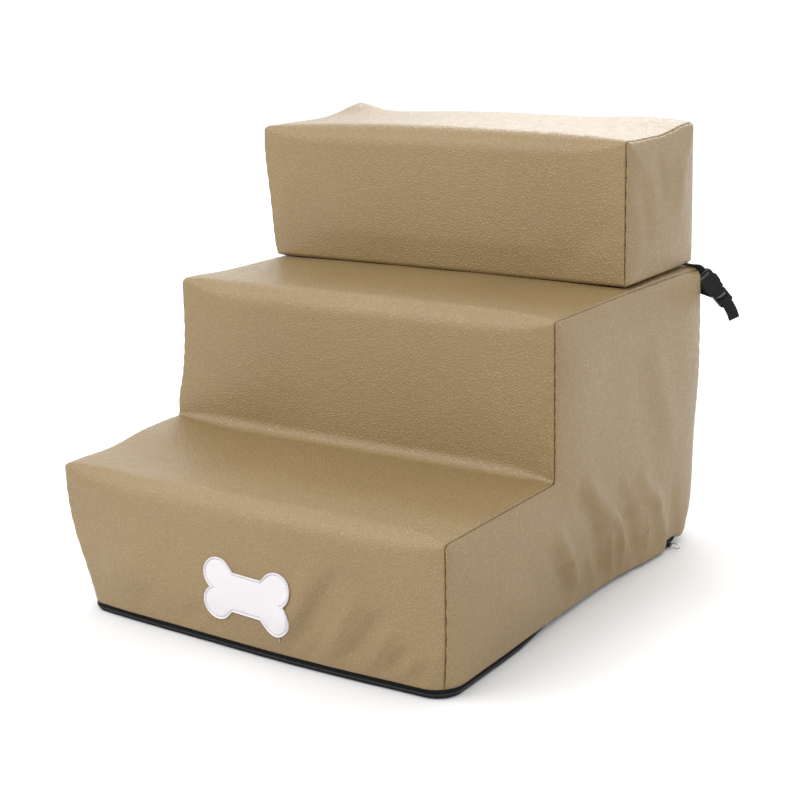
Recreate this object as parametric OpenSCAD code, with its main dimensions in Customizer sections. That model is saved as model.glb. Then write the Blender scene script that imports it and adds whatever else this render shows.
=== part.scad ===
// Soft three-step pet stairs: a leather base with steps 1 and 2, and a loose block as step 3.
// Millimetres. X runs to the right seen from the front, Y to the rear, Z up.

/* [Stairs] */
// Width of the base over its side faces
stair_w = 350; // [320:5:380]
// Depth of the base from front to back
stair_d = 404; // [390:2:430]
// Height of tread 1
step_1_h = 115; // [100:1:125]
// Rise from tread 1 to tread 2
step_2_rise = 122; // [110:1:130]
// Depth of tread 1
tread_1_d = 153; // [140:1:165]
// Depth of the block
block_d = 127; // [115:1:135]
// Height of the block
block_h = 114; // [100:1:125]
// How far each side of the block stands in from the base's side
block_inset = 5; // [3:0.5:10]

/* [Leather] */
// Thickness of the leather with its backing
leather_t = 1.2; // [0.8:0.1:1.5]
// Radius of the step noses and of the base's rear top edge
nose_r = 14; // [10:1:18]
// Radius in which the leather bridges the inner corner
crease_r = 12; // [8:1:16]
// Radius of the sewn edges
edge_r = 3; // [2:0.5:5]
// Radius of the foot's corners in plan
foot_r = 20; // [15:1:26]
// Height over which the foot's corners tighten to the sewn edge's radius
foot_taper_h = 55; // [40:1:70]
// How far the risers and the back stand out in their middle
riser_crown = 2.5; // [1:0.5:4]
// How far tread 2 stands up in its middle
tread_crown = 2; // [1:0.5:3]
// How far the side panels stand out in their middle
side_crown = 3; // [1:0.5:4]
// How far the block's top stands up in its middle
block_crown = 3; // [1:0.5:4]
// Gap between soft pieces of the two bodies
soft_gap = 0.3; // [0.2:0.1:0.6]

/* [Foot and zip] */
// Height of the base cover's hem
hem_h = 7.5; // [7.5:0.5:10]
// Thickness of the non-slip bottom fabric
bottom_t = 2; // [1.5:0.1:2.4]
// Thickness of the zip's tape
tape_t = 0.8; // [0.5:0.1:1]
// Height of the interlocked coil
coil_h = 1.8; // [1.4:0.1:2]
// Length of a zip slider
slider_l = 9; // [8:0.5:11]
// Diameter of a pull's wire
wire_d = 1; // [0.8:0.1:1.2]
// Reach of a pull beyond its pivot
pull_l = 10.5; // [9:0.5:13]
// Height of a pull between wire centres
pull_h = 5; // [4.6:0.1:5]
// Turn of the block's pull at rest, from straight out
pull_rest_turn = 80; // [0:5:80]

/* [Label] */
// Length between the bone's lobe centres
bone_l = 53; // [45:1:60]
// Height between the bone's lobe centres
bone_h = 28; // [24:1:32]
// Radius of a lobe
lobe_r = 9.7; // [8:0.1:11]
// Thickness of the label
label_t = 1.6; // [1.2:0.1:2]
// Height of the label's centre
label_z = 45; // [42:1:60]
// Offset of the label's centre to the right
label_x = 3.5; // [-10:0.5:10]
// Tilt of the label, in degrees
label_tilt = 3; // [0:0.5:6]

/* [Buckle] */
// Width of the webbing
webbing_w = 10; // [9:0.5:11]
// Thickness of the webbing
webbing_t = 1; // [0.8:0.1:1.2]
// Thickness of the buckle's socket
socket_t = 6; // [5.6:0.1:7]
// Length of the buckle's socket
socket_l = 20; // [19:0.5:22]
// Gap between buckle pieces
buckle_gap = 0.2; // [0.15:0.05:0.3]
// Fall of the buckle below the horizontal, in degrees
buckle_fall = 50; // [40:1:60]

/* [Hidden] */
$fn = 48;

leather = "#a08a66";
black = "#1c1b1d";
overrun = 1;

half_w = stair_w / 2;
step_2_h = step_1_h + step_2_rise;
block_half_w = half_w - block_inset;
block_y = stair_d - block_d;
block_z = step_2_h + tread_crown + soft_gap;
foam_inset = leather_t + edge_r;
foam_top_gap = leather_t + soft_gap;
foam_nose_r = nose_r - foam_top_gap;

// Share of a corner's radius by which a seam at 45 degrees lies inside both faces
seam_share = 1 - cos(45);
// Places across a strip of leather, from its left seam to its right one
cross_half_shares = [0.25, 0.5, 0.75, 0.9, 0.95, 0.985, 1];
cross_shares = concat([for (i = [len(cross_half_shares) - 1:-1:0]) -cross_half_shares[i]],
    [0], cross_half_shares);
crown_power = 3;
// Reach of the crown's fall towards a seam
crown_fall = 40;

// Zip, measured up from the underside and in from the leather's outer face
lower_tape_z = 0.4;
coil_z = 2.6;
coil_in = 0.6;
coil_depth = 1.6;
stop_l = 3;
// How far the upper tape laps behind the hem, and its play behind the leather
tape_lap = 6.5;
tape_play = 0.5;
upper_tape_top = hem_h + tape_lap;
tape_in = leather_t + tape_play;
// Distance from each zip's ends to the corner's curve, and to the block's side
base_zip_end = 22;
block_zip_end = 8;
zip_end_y = stair_d - foot_r - base_zip_end;
slider_y = zip_end_y - stop_l - slider_l / 2 - soft_gap;
// Block zip: its foot lies this far below the block's underside
block_zip_drop = lower_tape_z;
block_hem_h = hem_h - block_zip_drop;
block_zip_end_x = block_half_w - block_zip_end;
block_slider_x = block_zip_end_x - stop_l - slider_l / 2 - soft_gap;

// Slider, in its own frame: x out of the leather's face, y along the zip, z up
plate_in = 0.3;
plate_out = 0.9;
plate_z = 1.3;
plate_h = 4.4;
flange_in = 1.1;
bail_t = 0.8;
bail_h = 2.2;
bail_span = 5.2;
pull_z = plate_z + plate_h / 2;
pull_x = plate_out + soft_gap + wire_d / 2;
bail_x = pull_x + wire_d / 2 + soft_gap;

// Corner frame of a buckle: y runs out along the plan diagonal, x is square to it
corner_in_x = 9;
corner_in_y = 6;
// Centre of the closed buckle, along the diagonal and below the block's underside
buckle_out = 27;
buckle_down = 22.8;

// Buckle, in its own frame: a along it, b across it, c through it
mouth_a = 3;
socket_edge = 2;
socket_w = webbing_w + 2 * socket_edge;
socket_wall = 1;
socket_end = 5;
slot_play = 0.6;
slot_w = webbing_w + slot_play;
slot_l = 2;
slot_edge = 1.5;
corner_r = 1.5;
plug_t = 4.5;
plug_edge = 1.5;
plug_w = webbing_w + 2 * plug_edge;
plug_l = 14.6;
plug_front_a = mouth_a + 2 * buckle_gap;
plug_head = 5;
ladder_bar = 2.6;
plug_slot_1_a = plug_front_a + plug_head;
plug_slot_2_a = plug_slot_1_a + slot_l + ladder_bar;
pin_w = 2;
pin_l = 14;
pin_t = 3;
arm_t = socket_t - 2 * socket_wall - 2 * buckle_gap;
arm_b = 3.8;
arm_w = 1.5;
arm_slot_w = arm_w + 3 * buckle_gap;
arm_pivot_r = 0.9;
arm_pivot_gap = 0.05;
arm_pivot_in = 0.8;
arm_l = 14.5;
pad_gap = 2.5;
arm_pivot_a = plug_front_a + arm_pivot_in;
arm_tip_a = mouth_a - arm_l;
pad_start_a = mouth_a - pad_gap;
pad_out = 8.3;
rib_r = 0.45;
rib_count = 4;

// Rows and columns of the leather panels, as shares of the run that they divide
riser_shares = [0, 0.15, 0.35, 0.6, 0.8, 1];
tread_shares = [0.08, 0.3, 0.65, 1];
upper_riser_shares = [1 / 3, 2 / 3, 1];
deep_shares = [0.25, 0.5, 0.75, 0.9, 1];
// Places of the two columns that round each corner of the foot, as shares of its radius
foot_shares = [0.55, 1.1];
block_riser_shares = [0.3, 0.65, 1];
nose_angles = [150, 120];
nose_row_shares = [0.75, 0.4];

function mix(a, b, share) = a + (b - a) * share;
function flat_list(rows) = [for (row = rows) for (point = row) point];
function quad(a, b, c, d) = [[a, b, c], [a, c, d]];

// Radius of the vertical edges, wide at the foot
function upright_r(z) = edge_r
    + (foot_r - edge_r) * pow(max(0, 1 - (z - hem_h) / foot_taper_h), 2);
// Depth to which a rounded edge of radius r lies inside, at distance d from the corner's face
function rounding(d, r) = d >= r ? 0 : r - sqrt(r * r - pow(r - max(0, d), 2));
function crown_share(d) = 1 - pow(1 - min(1, max(0, d) / crown_fall), 2);

// A seam sample is [y, z, angle of the outward normal, crown, edge radius].
// This gives the leather's point at share u across the strip, t inside its outer face.
function on_strip(sample, u, t, half) =
    let (r = sample[4], edge_x = half - r * seam_share, x = u * edge_x,
        past = max(0, abs(x) - (half - r)), inward = r - sqrt(r * r - past * past),
        out = sample[3] * (1 - pow(abs(u), crown_power)) - inward - t)
    [u * (edge_x - t), sample[0] + out * cos(sample[2]), sample[1] + out * sin(sample[2])];

function nose(y, z, angle, crown) =
    [y + nose_r * cos(angle), z + nose_r * sin(angle), angle, crown, edge_r];

// Seam of the base: up riser 1, over tread 1, up riser 2, over tread 2 and down the back
riser_1_top = step_1_h - nose_r;
riser_1_z = [for (share = riser_shares) mix(hem_h, riser_1_top, share)];
front_column = concat(
    [for (z = riser_1_z) [0, z, 180, z > hem_h ? riser_crown : 0, upright_r(z)]],
    [for (angle = nose_angles) nose(nose_r, riser_1_top, angle, riser_crown)],
    [nose(nose_r, riser_1_top, 90, tread_crown)]);
crease_y = tread_1_d - crease_r;
crease_z = step_1_h + crease_r;
tread_1_row = concat(
    [for (share = tread_shares) [mix(nose_r, crease_y, share), step_1_h, 90, tread_crown, edge_r]],
    [[crease_y + crease_r * cos(45), crease_z - crease_r * sin(45), 135, tread_crown, edge_r]]);
riser_2_top = step_2_h - nose_r;
riser_2_z = [for (share = upper_riser_shares) mix(crease_z, riser_2_top, share)];
upper_column = concat([[tread_1_d, crease_z, 180, riser_crown, edge_r]],
    [for (z = riser_2_z) [tread_1_d, z, 180, riser_crown, edge_r]],
    [for (angle = nose_angles) nose(tread_1_d + nose_r, riser_2_top, angle, riser_crown)],
    [nose(tread_1_d + nose_r, riser_2_top, 90, tread_crown)]);
tread_2_row = [for (share = deep_shares)
    [mix(tread_1_d + nose_r, stair_d - nose_r, share), step_2_h, 90, tread_crown, edge_r]];
rear_nose = [for (angle = [60, 30, 0]) nose(stair_d - nose_r, riser_2_top, angle, tread_crown)];
strip_seam = concat(front_column, tread_1_row, upper_column, tread_2_row, rear_nose);

// Heights of the side panels' inner points, and the samples of their rear edge
lower_row_z = concat(riser_1_z, [for (share = nose_row_shares) step_1_h - nose_r * share],
    [crease_z - crease_r * sin(45)]);
upper_row_z = concat([crease_z], riser_2_z,
    [for (share = nose_row_shares) step_2_h - nose_r * share]);
back_z = concat(lower_row_z, [crease_z], riser_2_z);
function back_sample(z) =
    [stair_d, z, 0, z > hem_h ? (z < riser_2_top ? riser_crown : tread_crown) : 0, upright_r(z)];

// Columns of the side panels' inner points, and how many of them lie under tread 1
column_y = concat([0], foot_r * foot_shares,
    [for (j = [2:len(tread_1_row) - 1]) tread_1_row[j][0]],
    [for (j = [0:len(tread_2_row) - 4]) tread_2_row[j][0]],
    [for (i = [1:-1:0]) stair_d - foot_r * foot_shares[i]], [stair_d]);
fore = len(tread_1_row);
deep = len(tread_2_row);

// Outer face of the base's right side at [y, z]
function side_x(y, z) =
    let (over = y < tread_1_d ? step_1_h - z : z > step_1_h ? y - tread_1_d
            : norm([y - tread_1_d, step_1_h - z]),
        near = min(y, stair_d - y, max(0, over), step_2_h - z), r = upright_r(z))
    half_w - rounding(near, r) + side_crown * crown_share(min(near, z - hem_h));

// Points of the side panel, t inside its outer face: lower rows, then the rows above tread 1
function side_points(t, side) =
    let (cols = fore + deep, last = len(lower_row_z) - 1, top = len(upper_column) - 1)
    concat(
        [for (k = [0:last]) for (j = [0:cols])
            let (z = lower_row_z[k],
                seam = j == 0 ? front_column[k] : j == cols ? back_sample(z)
                    : k == last && j <= fore ? tread_1_row[j - 1] : [])
            side_point(seam, column_y[j], z, t, side)],
        [for (k = [0:top]) for (m = [0:deep])
            let (z = upper_row_z[min(k, top - 1)],
                seam = m == 0 ? upper_column[k] : k == top ? tread_2_row[m - 1]
                    : m < deep ? [] : k < top - 2 ? back_sample(z) : rear_nose[top - 1 - k])
            side_point(seam, column_y[fore + m], z, t, side)]);
function side_point(seam, y, z, t, side) = len(seam) > 0
    ? on_strip(seam, side, t, half_w) : [side * (side_x(y, z) - t), y, z];

// A closed sheet from its outer and inner points, the quads between them and its rim's loop
module skin(outer, inner, quads, loop, flip) {
    n = len(outer);
    rim = [for (k = [0:len(loop) - 1]) let (a = loop[k], b = loop[(k + 1) % len(loop)])
        for (face = quad(b, a, n + a, n + b)) face];
    faces = concat([for (q = quads) for (face = quad(q[0], q[1], q[2], q[3])) face],
        [for (q = quads) for (face = quad(n + q[3], n + q[2], n + q[1], n + q[0])) face], rim);
    polyhedron(points = concat(outer, inner),
        faces = flip ? [for (face = faces) [face[2], face[1], face[0]]] : faces);
}

// A sheet whose outer and inner points are rows of equal length
module sheet(outer, inner, flip = false) {
    rows = len(outer);
    cols = len(outer[0]);
    quads = [for (i = [0:rows - 2]) for (j = [0:cols - 2])
        [i * cols + j, i * cols + j + 1, (i + 1) * cols + j + 1, (i + 1) * cols + j]];
    loop = concat([for (j = [0:cols - 2]) j], [for (i = [0:rows - 2]) i * cols + cols - 1],
        [for (j = [cols - 1:-1:1]) (rows - 1) * cols + j], [for (i = [rows - 1:-1:1]) i * cols]);
    skin(flat_list(outer), flat_list(inner), quads, loop, flip);
}

module strip(samples, half) {
    sheet([for (sample = samples) [for (u = cross_shares) on_strip(sample, u, 0, half)]],
        [for (sample = samples) [for (u = cross_shares) on_strip(sample, u, leather_t, half)]]);
}

module base_side(side) {
    cols = fore + deep + 1;
    last = len(lower_row_z) - 1;
    top = len(upper_column) - 1;
    lower_n = (last + 1) * cols;
    function low(k, j) = k * cols + j;
    function up(k, m) = k < 0 ? low(last, fore + m) : lower_n + k * (deep + 1) + m;
    quads = concat(
        [for (k = [0:last - 1]) for (j = [0:cols - 2])
            [low(k, j), low(k, j + 1), low(k + 1, j + 1), low(k + 1, j)]],
        [for (k = [-1:top - 1]) for (m = [0:deep - 1])
            [up(k, m), up(k, m + 1), up(k + 1, m + 1), up(k + 1, m)]]);
    loop = concat([for (j = [0:cols - 2]) low(0, j)], [for (k = [0:last - 1]) low(k, cols - 1)],
        [for (k = [-1:top - 1]) up(k, deep)], [for (m = [deep:-1:1]) up(top, m)],
        [for (k = [top:-1:0]) up(k, 0)], [for (j = [fore:-1:1]) low(last, j)],
        [for (k = [last:-1:1]) low(k, 0)]);
    color(leather) skin(side_points(0, side), side_points(leather_t, side), quads, loop, side > 0);
}

// Plan of the foot, or of the block, at an inset from its outer faces
module plan(half, depth, r, inset) {
    inner_r = max(edge_r / 2, r - inset);
    translate([inset - half, inset + inner_r])
        square([2 * (half - inset), depth - 2 * (inset + inner_r)]);
    translate([inset + inner_r - half, inset])
        square([2 * (half - inset - inner_r), depth - 2 * inset]);
    for (side = [-1, 1]) for (y = [inset + inner_r, depth - inset - inner_r])
        translate([side * (half - inset - inner_r), y]) circle(r = inner_r);
}

module foot_band(inset, t, z, h, from_y, to_y) {
    intersection() {
        translate([0, 0, z]) linear_extrude(h) difference() {
            plan(half_w, stair_d, foot_r, inset);
            plan(half_w, stair_d, foot_r, inset + t);
        }
        translate([-stair_w, from_y, z]) cube([2 * stair_w, to_y - from_y, h]);
    }
}

// Outline of a foam slab in side view, round at its top edges
module slab_outline(front, rear, bottom, top, round_rear) {
    r = foam_nose_r;
    translate([front, bottom]) square([rear - front, top - bottom - r]);
    translate([front + r, bottom]) square([rear - front - (round_rear ? 2 : 1) * r, top - bottom]);
    translate([front + r, top - r]) circle(r = r);
    if (round_rear) translate([rear - r, top - r]) circle(r = r);
}

module along_x(half) {
    translate([-half, 0, 0]) rotate([90, 0, 90]) linear_extrude(2 * half) children();
}

module lower_foam() {
    color("#e9e2c8") intersection() {
        along_x(half_w) slab_outline(foam_inset, stair_d - foam_inset, bottom_t + buckle_gap / 2,
            step_1_h - foam_top_gap, false);
        linear_extrude(step_1_h) plan(half_w, stair_d, foot_r, foam_inset);
    }
}

module upper_foam() {
    color("#e9e2c8") intersection() {
        along_x(half_w) slab_outline(tread_1_d + foam_inset, stair_d - foam_inset,
            step_1_h - foam_top_gap, step_2_h - foam_top_gap, true);
        linear_extrude(step_2_h) plan(half_w, stair_d, foot_r, foam_inset);
    }
}

module step_cover() { color(leather) strip(strip_seam, half_w); }

module back_panel() {
    color(leather) strip([for (i = [len(back_z) - 1:-1:0]) back_sample(back_z[i])], half_w);
}

module bottom_panel() {
    color(black) {
        linear_extrude(bottom_t) plan(half_w, stair_d, foot_r, tape_in + tape_t);
        foot_band(tape_in, tape_t, 0, upper_tape_top, zip_end_y, stair_d);
    }
}

module cover_zip_tape() {
    color(black) foot_band(tape_in, tape_t, coil_z + coil_h, upper_tape_top - coil_z - coil_h,
        0, zip_end_y);
}

module bottom_zip_tape() {
    color(black) foot_band(tape_in, tape_t, lower_tape_z, coil_z - lower_tape_z, 0, zip_end_y);
}

module base_zip_coil() {
    color("#2c2b2e") foot_band(coil_in, coil_depth, coil_z, coil_h, 0, zip_end_y - stop_l);
}

module base_zip_stops() {
    color("#2c2b2e") for (side = [-1, 1])
        translate([side * (half_w - coil_in) - (side > 0 ? coil_depth : 0), zip_end_y - stop_l, coil_z])
            cube([coil_depth, stop_l, coil_h]);
}

// Slider: a plate over the coil with two flanges, and a bail for the pull
module slider() {
    intersection() {
        translate([0, slider_l / 2, 0]) rotate([90, 0, 0]) linear_extrude(slider_l) polygon([
            [-flange_in, plate_z], [plate_out, plate_z], [plate_out, plate_z + plate_h],
            [-flange_in, plate_z + plate_h], [-flange_in, coil_z + coil_h + plate_in],
            [-plate_in, coil_z + coil_h + plate_in], [-plate_in, coil_z - plate_in],
            [-flange_in, coil_z - plate_in]]);
        translate([-flange_in, 0, 0]) rotate([90, 0, 90]) linear_extrude(flange_in + plate_out)
            polygon([[-slider_l / 2, plate_z], [slider_l / 4, plate_z],
                [slider_l / 2, plate_z + plate_h / 4], [slider_l / 2, plate_z + plate_h * 3 / 4],
                [slider_l / 4, plate_z + plate_h], [-slider_l / 2, plate_z + plate_h]]);
    }
    for (side = [-1, 1])
        translate([plate_out - buckle_gap, side * (bail_span - bail_t) / 2 - bail_t / 2,
            pull_z - bail_h / 2]) cube([bail_x - plate_out + bail_t + buckle_gap, bail_t, bail_h]);
    translate([bail_x, -bail_span / 2, pull_z - bail_h / 2]) cube([bail_t, bail_span, bail_h]);
}

// Pull: a wire loop that hangs in the bail on its upright side
module pull() {
    r = wire_d * 1.1;
    for (end = [0, 1]) {
        translate([pull_x + end * pull_l, 0, pull_z - pull_h / 2 + r])
            cylinder(d = wire_d, h = pull_h - 2 * r);
        translate([pull_x + r, 0, pull_z + (end - 1 / 2) * pull_h]) rotate([0, 90, 0])
            cylinder(d = wire_d, h = pull_l - 2 * r);
    }
    for (corner = [[0, 0, 180], [1, 0, 270], [1, 1, 0], [0, 1, 90]])
        translate([pull_x + r + corner[0] * (pull_l - 2 * r), 0,
            pull_z - pull_h / 2 + r + corner[1] * (pull_h - 2 * r)])
            rotate([90, 0, 0]) rotate([0, 0, corner[2]])
                rotate_extrude(angle = 90) translate([r, 0]) circle(d = wire_d);
}

module at_base_slider() { translate([half_w, slider_y, 0]) children(); }
module at_block_slider() {
    translate([block_slider_x, stair_d, block_z - block_zip_drop]) rotate([0, 0, 90]) children();
}

module base_zip_slider() { color(black) at_base_slider() slider(); }
module base_zip_pull() { color("silver") at_base_slider() pull(); }

// Outline of the bone, smaller by an inset
module bone(inset) {
    square([bone_l, bone_h - 2 * inset], center = true);
    for (x = [-1, 1]) for (y = [-1, 1])
        translate([x * bone_l / 2, y * bone_h / 2]) circle(r = lobe_r - inset);
}

module bone_label() {
    rim_w = label_t;
    rim_h = label_t / 4;
    color("#f4f2f1") translate([label_x, -riser_crown - buckle_gap / 2, label_z])
        rotate([90, label_tilt, 0]) {
            linear_extrude(label_t - rim_h) bone(0);
            translate([0, 0, label_t - rim_h]) linear_extrude(rim_h) difference() {
                bone(0);
                bone(rim_w);
            }
        }
}

// Block, in its own frame: y from its front face, z from its underside
block_top = block_h - nose_r;
block_z_rows = concat([leather_t, block_hem_h],
    [for (share = block_riser_shares) mix(block_hem_h, block_top, share)]);
function block_nose(y, angle) =
    [y + nose_r * cos(angle), block_top + nose_r * sin(angle), angle, block_crown, edge_r];
block_front = concat(
    [for (z = block_z_rows) [0, z, 180, z > leather_t ? riser_crown : 0, edge_r]],
    [for (angle = concat(nose_angles, [90])) block_nose(nose_r, angle)]);
block_top_row = [for (share = deep_shares)
    [mix(nose_r, block_d - nose_r, share), block_h, 90, block_crown, edge_r]];
block_rear_nose = [for (angle = [60, 30, 0]) block_nose(block_d - nose_r, angle)];
function block_back(z) = [block_d, z, 0, z > block_hem_h ? riser_crown : 0, edge_r];
block_seam = concat(block_front, block_top_row, block_rear_nose,
    [for (i = [len(block_z_rows) - 2:-1:1]) block_back(block_z_rows[i])]);

function block_side_x(y, z) =
    let (near = min(y, block_d - y, block_h - z))
    block_half_w - rounding(near, edge_r) + side_crown * crown_share(min(near, z - leather_t));

function block_side_rows(t, side) =
    let (deep = len(block_top_row), top = len(block_front) - 1, rows = len(block_z_rows))
    [for (k = [0:top]) [for (m = [0:deep])
        let (y = block_d * m / deep,
            z = k < rows ? block_z_rows[k]
                : block_h - nose_r * nose_row_shares[min(k - rows, len(nose_row_shares) - 1)],
            seam = m == 0 ? block_front[k] : k == top ? block_top_row[m - 1]
                : m < deep ? [] : k < rows ? block_back(z) : block_rear_nose[top - 1 - k])
        len(seam) > 0 ? on_strip(k == rows - 1 && m == deep ? block_rear_nose[2] : seam,
            side, t, block_half_w) : [side * (block_side_x(y, z) - t), y, z]]];

module in_block() { translate([0, block_y, block_z]) children(); }

module block_side(side) {
    color(leather) in_block()
        sheet(block_side_rows(0, side), block_side_rows(leather_t, side), side > 0);
}

module block_foam() {
    color("#e9e2c8") in_block() intersection() {
        along_x(block_half_w) slab_outline(foam_inset, block_d - foam_inset,
            leather_t + buckle_gap / 2, block_h - foam_top_gap, true);
        linear_extrude(block_h) plan(block_half_w, block_d, foam_inset + edge_r, foam_inset);
    }
}

module block_cover() { color(leather) in_block() strip(block_seam, block_half_w); }

module block_bottom_panel() {
    color(black) in_block() intersection() {
        linear_extrude(leather_t) plan(block_half_w, block_d, edge_r * 2, 0);
        translate([-block_half_w, 0, 0])
            cube([2 * block_half_w, block_d - tape_in - tape_t, leather_t]);
    }
}

// A straight bar of the block's zip, below its back's hem
module block_zip_bar(inset, t, z, h, from_x, to_x) {
    translate([from_x, stair_d - inset - t, block_z - block_zip_drop + z])
        cube([to_x - from_x, t, h]);
}

module block_zip_tapes() {
    color(black) {
        block_zip_bar(tape_in, tape_t, lower_tape_z, coil_z - lower_tape_z,
            -block_zip_end_x, block_zip_end_x);
        block_zip_bar(tape_in, tape_t, coil_z + coil_h, upper_tape_top - coil_z - coil_h,
            -block_zip_end_x, block_zip_end_x);
    }
}

module block_zip_coil() {
    color("#2c2b2e") block_zip_bar(coil_in, coil_depth, coil_z, coil_h,
        stop_l - block_zip_end_x, block_zip_end_x - stop_l);
}

module block_zip_stops() {
    color("#2c2b2e") for (x = [-block_zip_end_x, block_zip_end_x - stop_l])
        block_zip_bar(coil_in, coil_depth, coil_z, coil_h, x, x + stop_l);
}

module block_zip_slider() { color(black) at_block_slider() slider(); }
// The block's pull lies against its zip, so that it clears the base when the block folds back
module block_zip_pull() {
    color("silver") at_block_slider() translate([pull_x, 0, 0]) rotate([0, 0, pull_rest_turn])
        translate([-pull_x, 0, 0]) pull();
}

// Frame of the straps at a rear corner, and of the buckle that hangs there
module at_corner(side) {
    mirror([side < 0 ? 1 : 0, 0, 0])
        translate([half_w - corner_in_x, stair_d - corner_in_y, block_z]) rotate([0, 0, -45])
            children();
}
module at_buckle(side) {
    at_corner(side) translate([0, buckle_out, -buckle_down]) rotate([-buckle_fall, 0, 0])
        rotate([90, 0, 90]) children();
}

// A band of webbing through the given centres, with a width direction at each
module band(centres, widths) {
    last = len(centres) - 1;
    function unit(v) = v / norm(v);
    function along(i) = unit(centres[min(last, i + 1)] - centres[max(0, i - 1)]);
    points = [for (i = [0:last]) let (w = unit(widths[i]) * webbing_w / 2,
            t = unit(cross(along(i), w)) * webbing_t / 2)
        for (p = [w + t, t - w, -w - t, w - t]) centres[i] + p];
    faces = concat([for (i = [0:last - 1]) for (k = [0:3])
            for (face = quad(4 * i + k, 4 * i + (k + 1) % 4, 4 * i + 4 + (k + 1) % 4, 4 * i + 4 + k))
                face], quad(3, 2, 1, 0), quad(4 * last, 4 * last + 1, 4 * last + 2, 4 * last + 3));
    polyhedron(points = points, faces = faces);
}

// Strap centres in the corner frame, as shares of the webbing's width, chosen by hand
block_strap_shares = [[0, -0.6, -0.06], [0, 0.2, -0.06], [0, 0.65, -0.2], [0, 1.02, -0.44],
    [0, 1.33, -0.76], [0, 1.54, -0.99]];
// Turn of the strap at each centre, from flat to standing
block_strap_turns = [0, 0, 15, 45, 75, 90];
base_strap_shares = [[-1.1, 0.02, -1.72], [-0.92, 0.6, -1.9], [-0.66, 1.6, -2.28],
    [-0.43, 2.6, -2.68], [-0.31, 3.26, -2.95]];
base_strap_width_shares = [[0, 0, 1], [0, 0.3, 0.95], [0, 0.55, 0.83], [0, 0.766, 0.643],
    [0, 0.766, 0.643]];
tail_shares = [[0.29, 3.45, -3.17], [0.3, 3.85, -3.73], [0.29, 4.23, -4.38], [0.26, 4.48, -5.03]];
tail_width_shares = [[0, 0.766, 0.643], [0, 0.8, 0.58], [0, 0.87, 0.48], [0, 0.92, 0.38]];

module block_strap(side) {
    shares = block_strap_shares;
    last = len(shares) - 1;
    function slope(i) = let (d = shares[min(last, i + 1)] - shares[max(0, i - 1)]) atan2(-d[2], d[1]);
    color(black) at_corner(side) band([for (share = shares) share * webbing_w],
        [for (i = [0:last]) let (turn = block_strap_turns[i], fall = slope(i))
            [cos(turn), sin(turn) * sin(fall), sin(turn) * cos(fall)]]);
}
module base_strap(side) {
    color(black) at_corner(side)
        band([for (share = base_strap_shares) share * webbing_w], base_strap_width_shares);
}
module strap_tail(side) {
    color(black) at_corner(side)
        band([for (share = tail_shares) share * webbing_w], tail_width_shares);
}

// A plate of the buckle with round corners, from one end to the other along it
module buckle_plate(from_a, l, w, t) {
    translate([from_a, -w / 2, -t / 2]) linear_extrude(t) {
        translate([corner_r, 0]) square([l - 2 * corner_r, w]);
        translate([0, corner_r]) square([l, w - 2 * corner_r]);
        for (x = [corner_r, l - corner_r]) for (y = [corner_r, w - corner_r])
            translate([x, y]) circle(r = corner_r);
    }
}
module webbing_slot(from_a) {
    translate([from_a, -slot_w / 2, -socket_t]) cube([slot_l, slot_w, 2 * socket_t]);
}

module buckle_socket(side) {
    from_a = mouth_a - socket_l;
    color(black) at_buckle(side) difference() {
        buckle_plate(from_a, socket_l, socket_w, socket_t);
        translate([from_a + socket_end, -socket_w, socket_wall - socket_t / 2])
            cube([socket_l, 2 * socket_w, socket_t - 2 * socket_wall]);
        webbing_slot(from_a + slot_edge);
    }
}

module buckle_plug(side) {
    color(black) at_buckle(side) {
        difference() {
            buckle_plate(plug_front_a, plug_l, plug_w, plug_t);
            webbing_slot(plug_slot_1_a);
            webbing_slot(plug_slot_2_a);
            for (across = [-1, 1]) translate([0, across * arm_b, -plug_t]) {
                translate([arm_pivot_a, 0, 0])
                    cylinder(r = arm_pivot_r + arm_pivot_gap, h = 2 * plug_t);
                translate([plug_front_a - overrun, -arm_slot_w / 2, 0])
                    cube([arm_pivot_a - plug_front_a + overrun, arm_slot_w, 2 * plug_t]);
            }
        }
        translate([plug_front_a - pin_l, -pin_w / 2, -pin_t / 2]) cube([pin_l + overrun, pin_w, pin_t]);
    }
}

// Spring arm with its ribbed release pad
module arm(side, across) {
    color("#2c2b2e") at_buckle(side) mirror([0, across < 0 ? 1 : 0, 0]) {
        translate([arm_pivot_a, arm_b, -arm_t / 2]) cylinder(r = arm_pivot_r, h = arm_t);
        translate([arm_tip_a, arm_b - arm_w / 2, -arm_t / 2])
            cube([arm_pivot_a - arm_tip_a, arm_w, arm_t]);
        translate([0, 0, -arm_t / 2]) linear_extrude(arm_t) polygon([[arm_tip_a, arm_b],
            [pad_start_a, arm_b], [pad_start_a - pin_w, pad_out - rib_r],
            [arm_tip_a + pin_w, pad_out], [arm_tip_a, pad_out - pin_w]]);
        for (i = [1:rib_count])
            translate([mix(arm_tip_a + pin_w, pad_start_a - pin_w, i / (rib_count + 1)),
                mix(pad_out, pad_out - rib_r, i / (rib_count + 1)), -arm_t / 2])
                cylinder(r = rib_r, h = arm_t);
    }
}

// The origin lies under the middle of the whole, straps and buckles included
front_reach = riser_crown + buckle_gap / 2 + label_t;
rear_reach = (tail_shares[3][1] + tail_width_shares[3][1] / 2 - tail_shares[3][0]) * webbing_w
    * cos(45) - corner_in_y;
origin_y = (stair_d + rear_reach - front_reach) / 2;
module placed() { translate([0, -origin_y, 0]) children(); }

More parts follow.
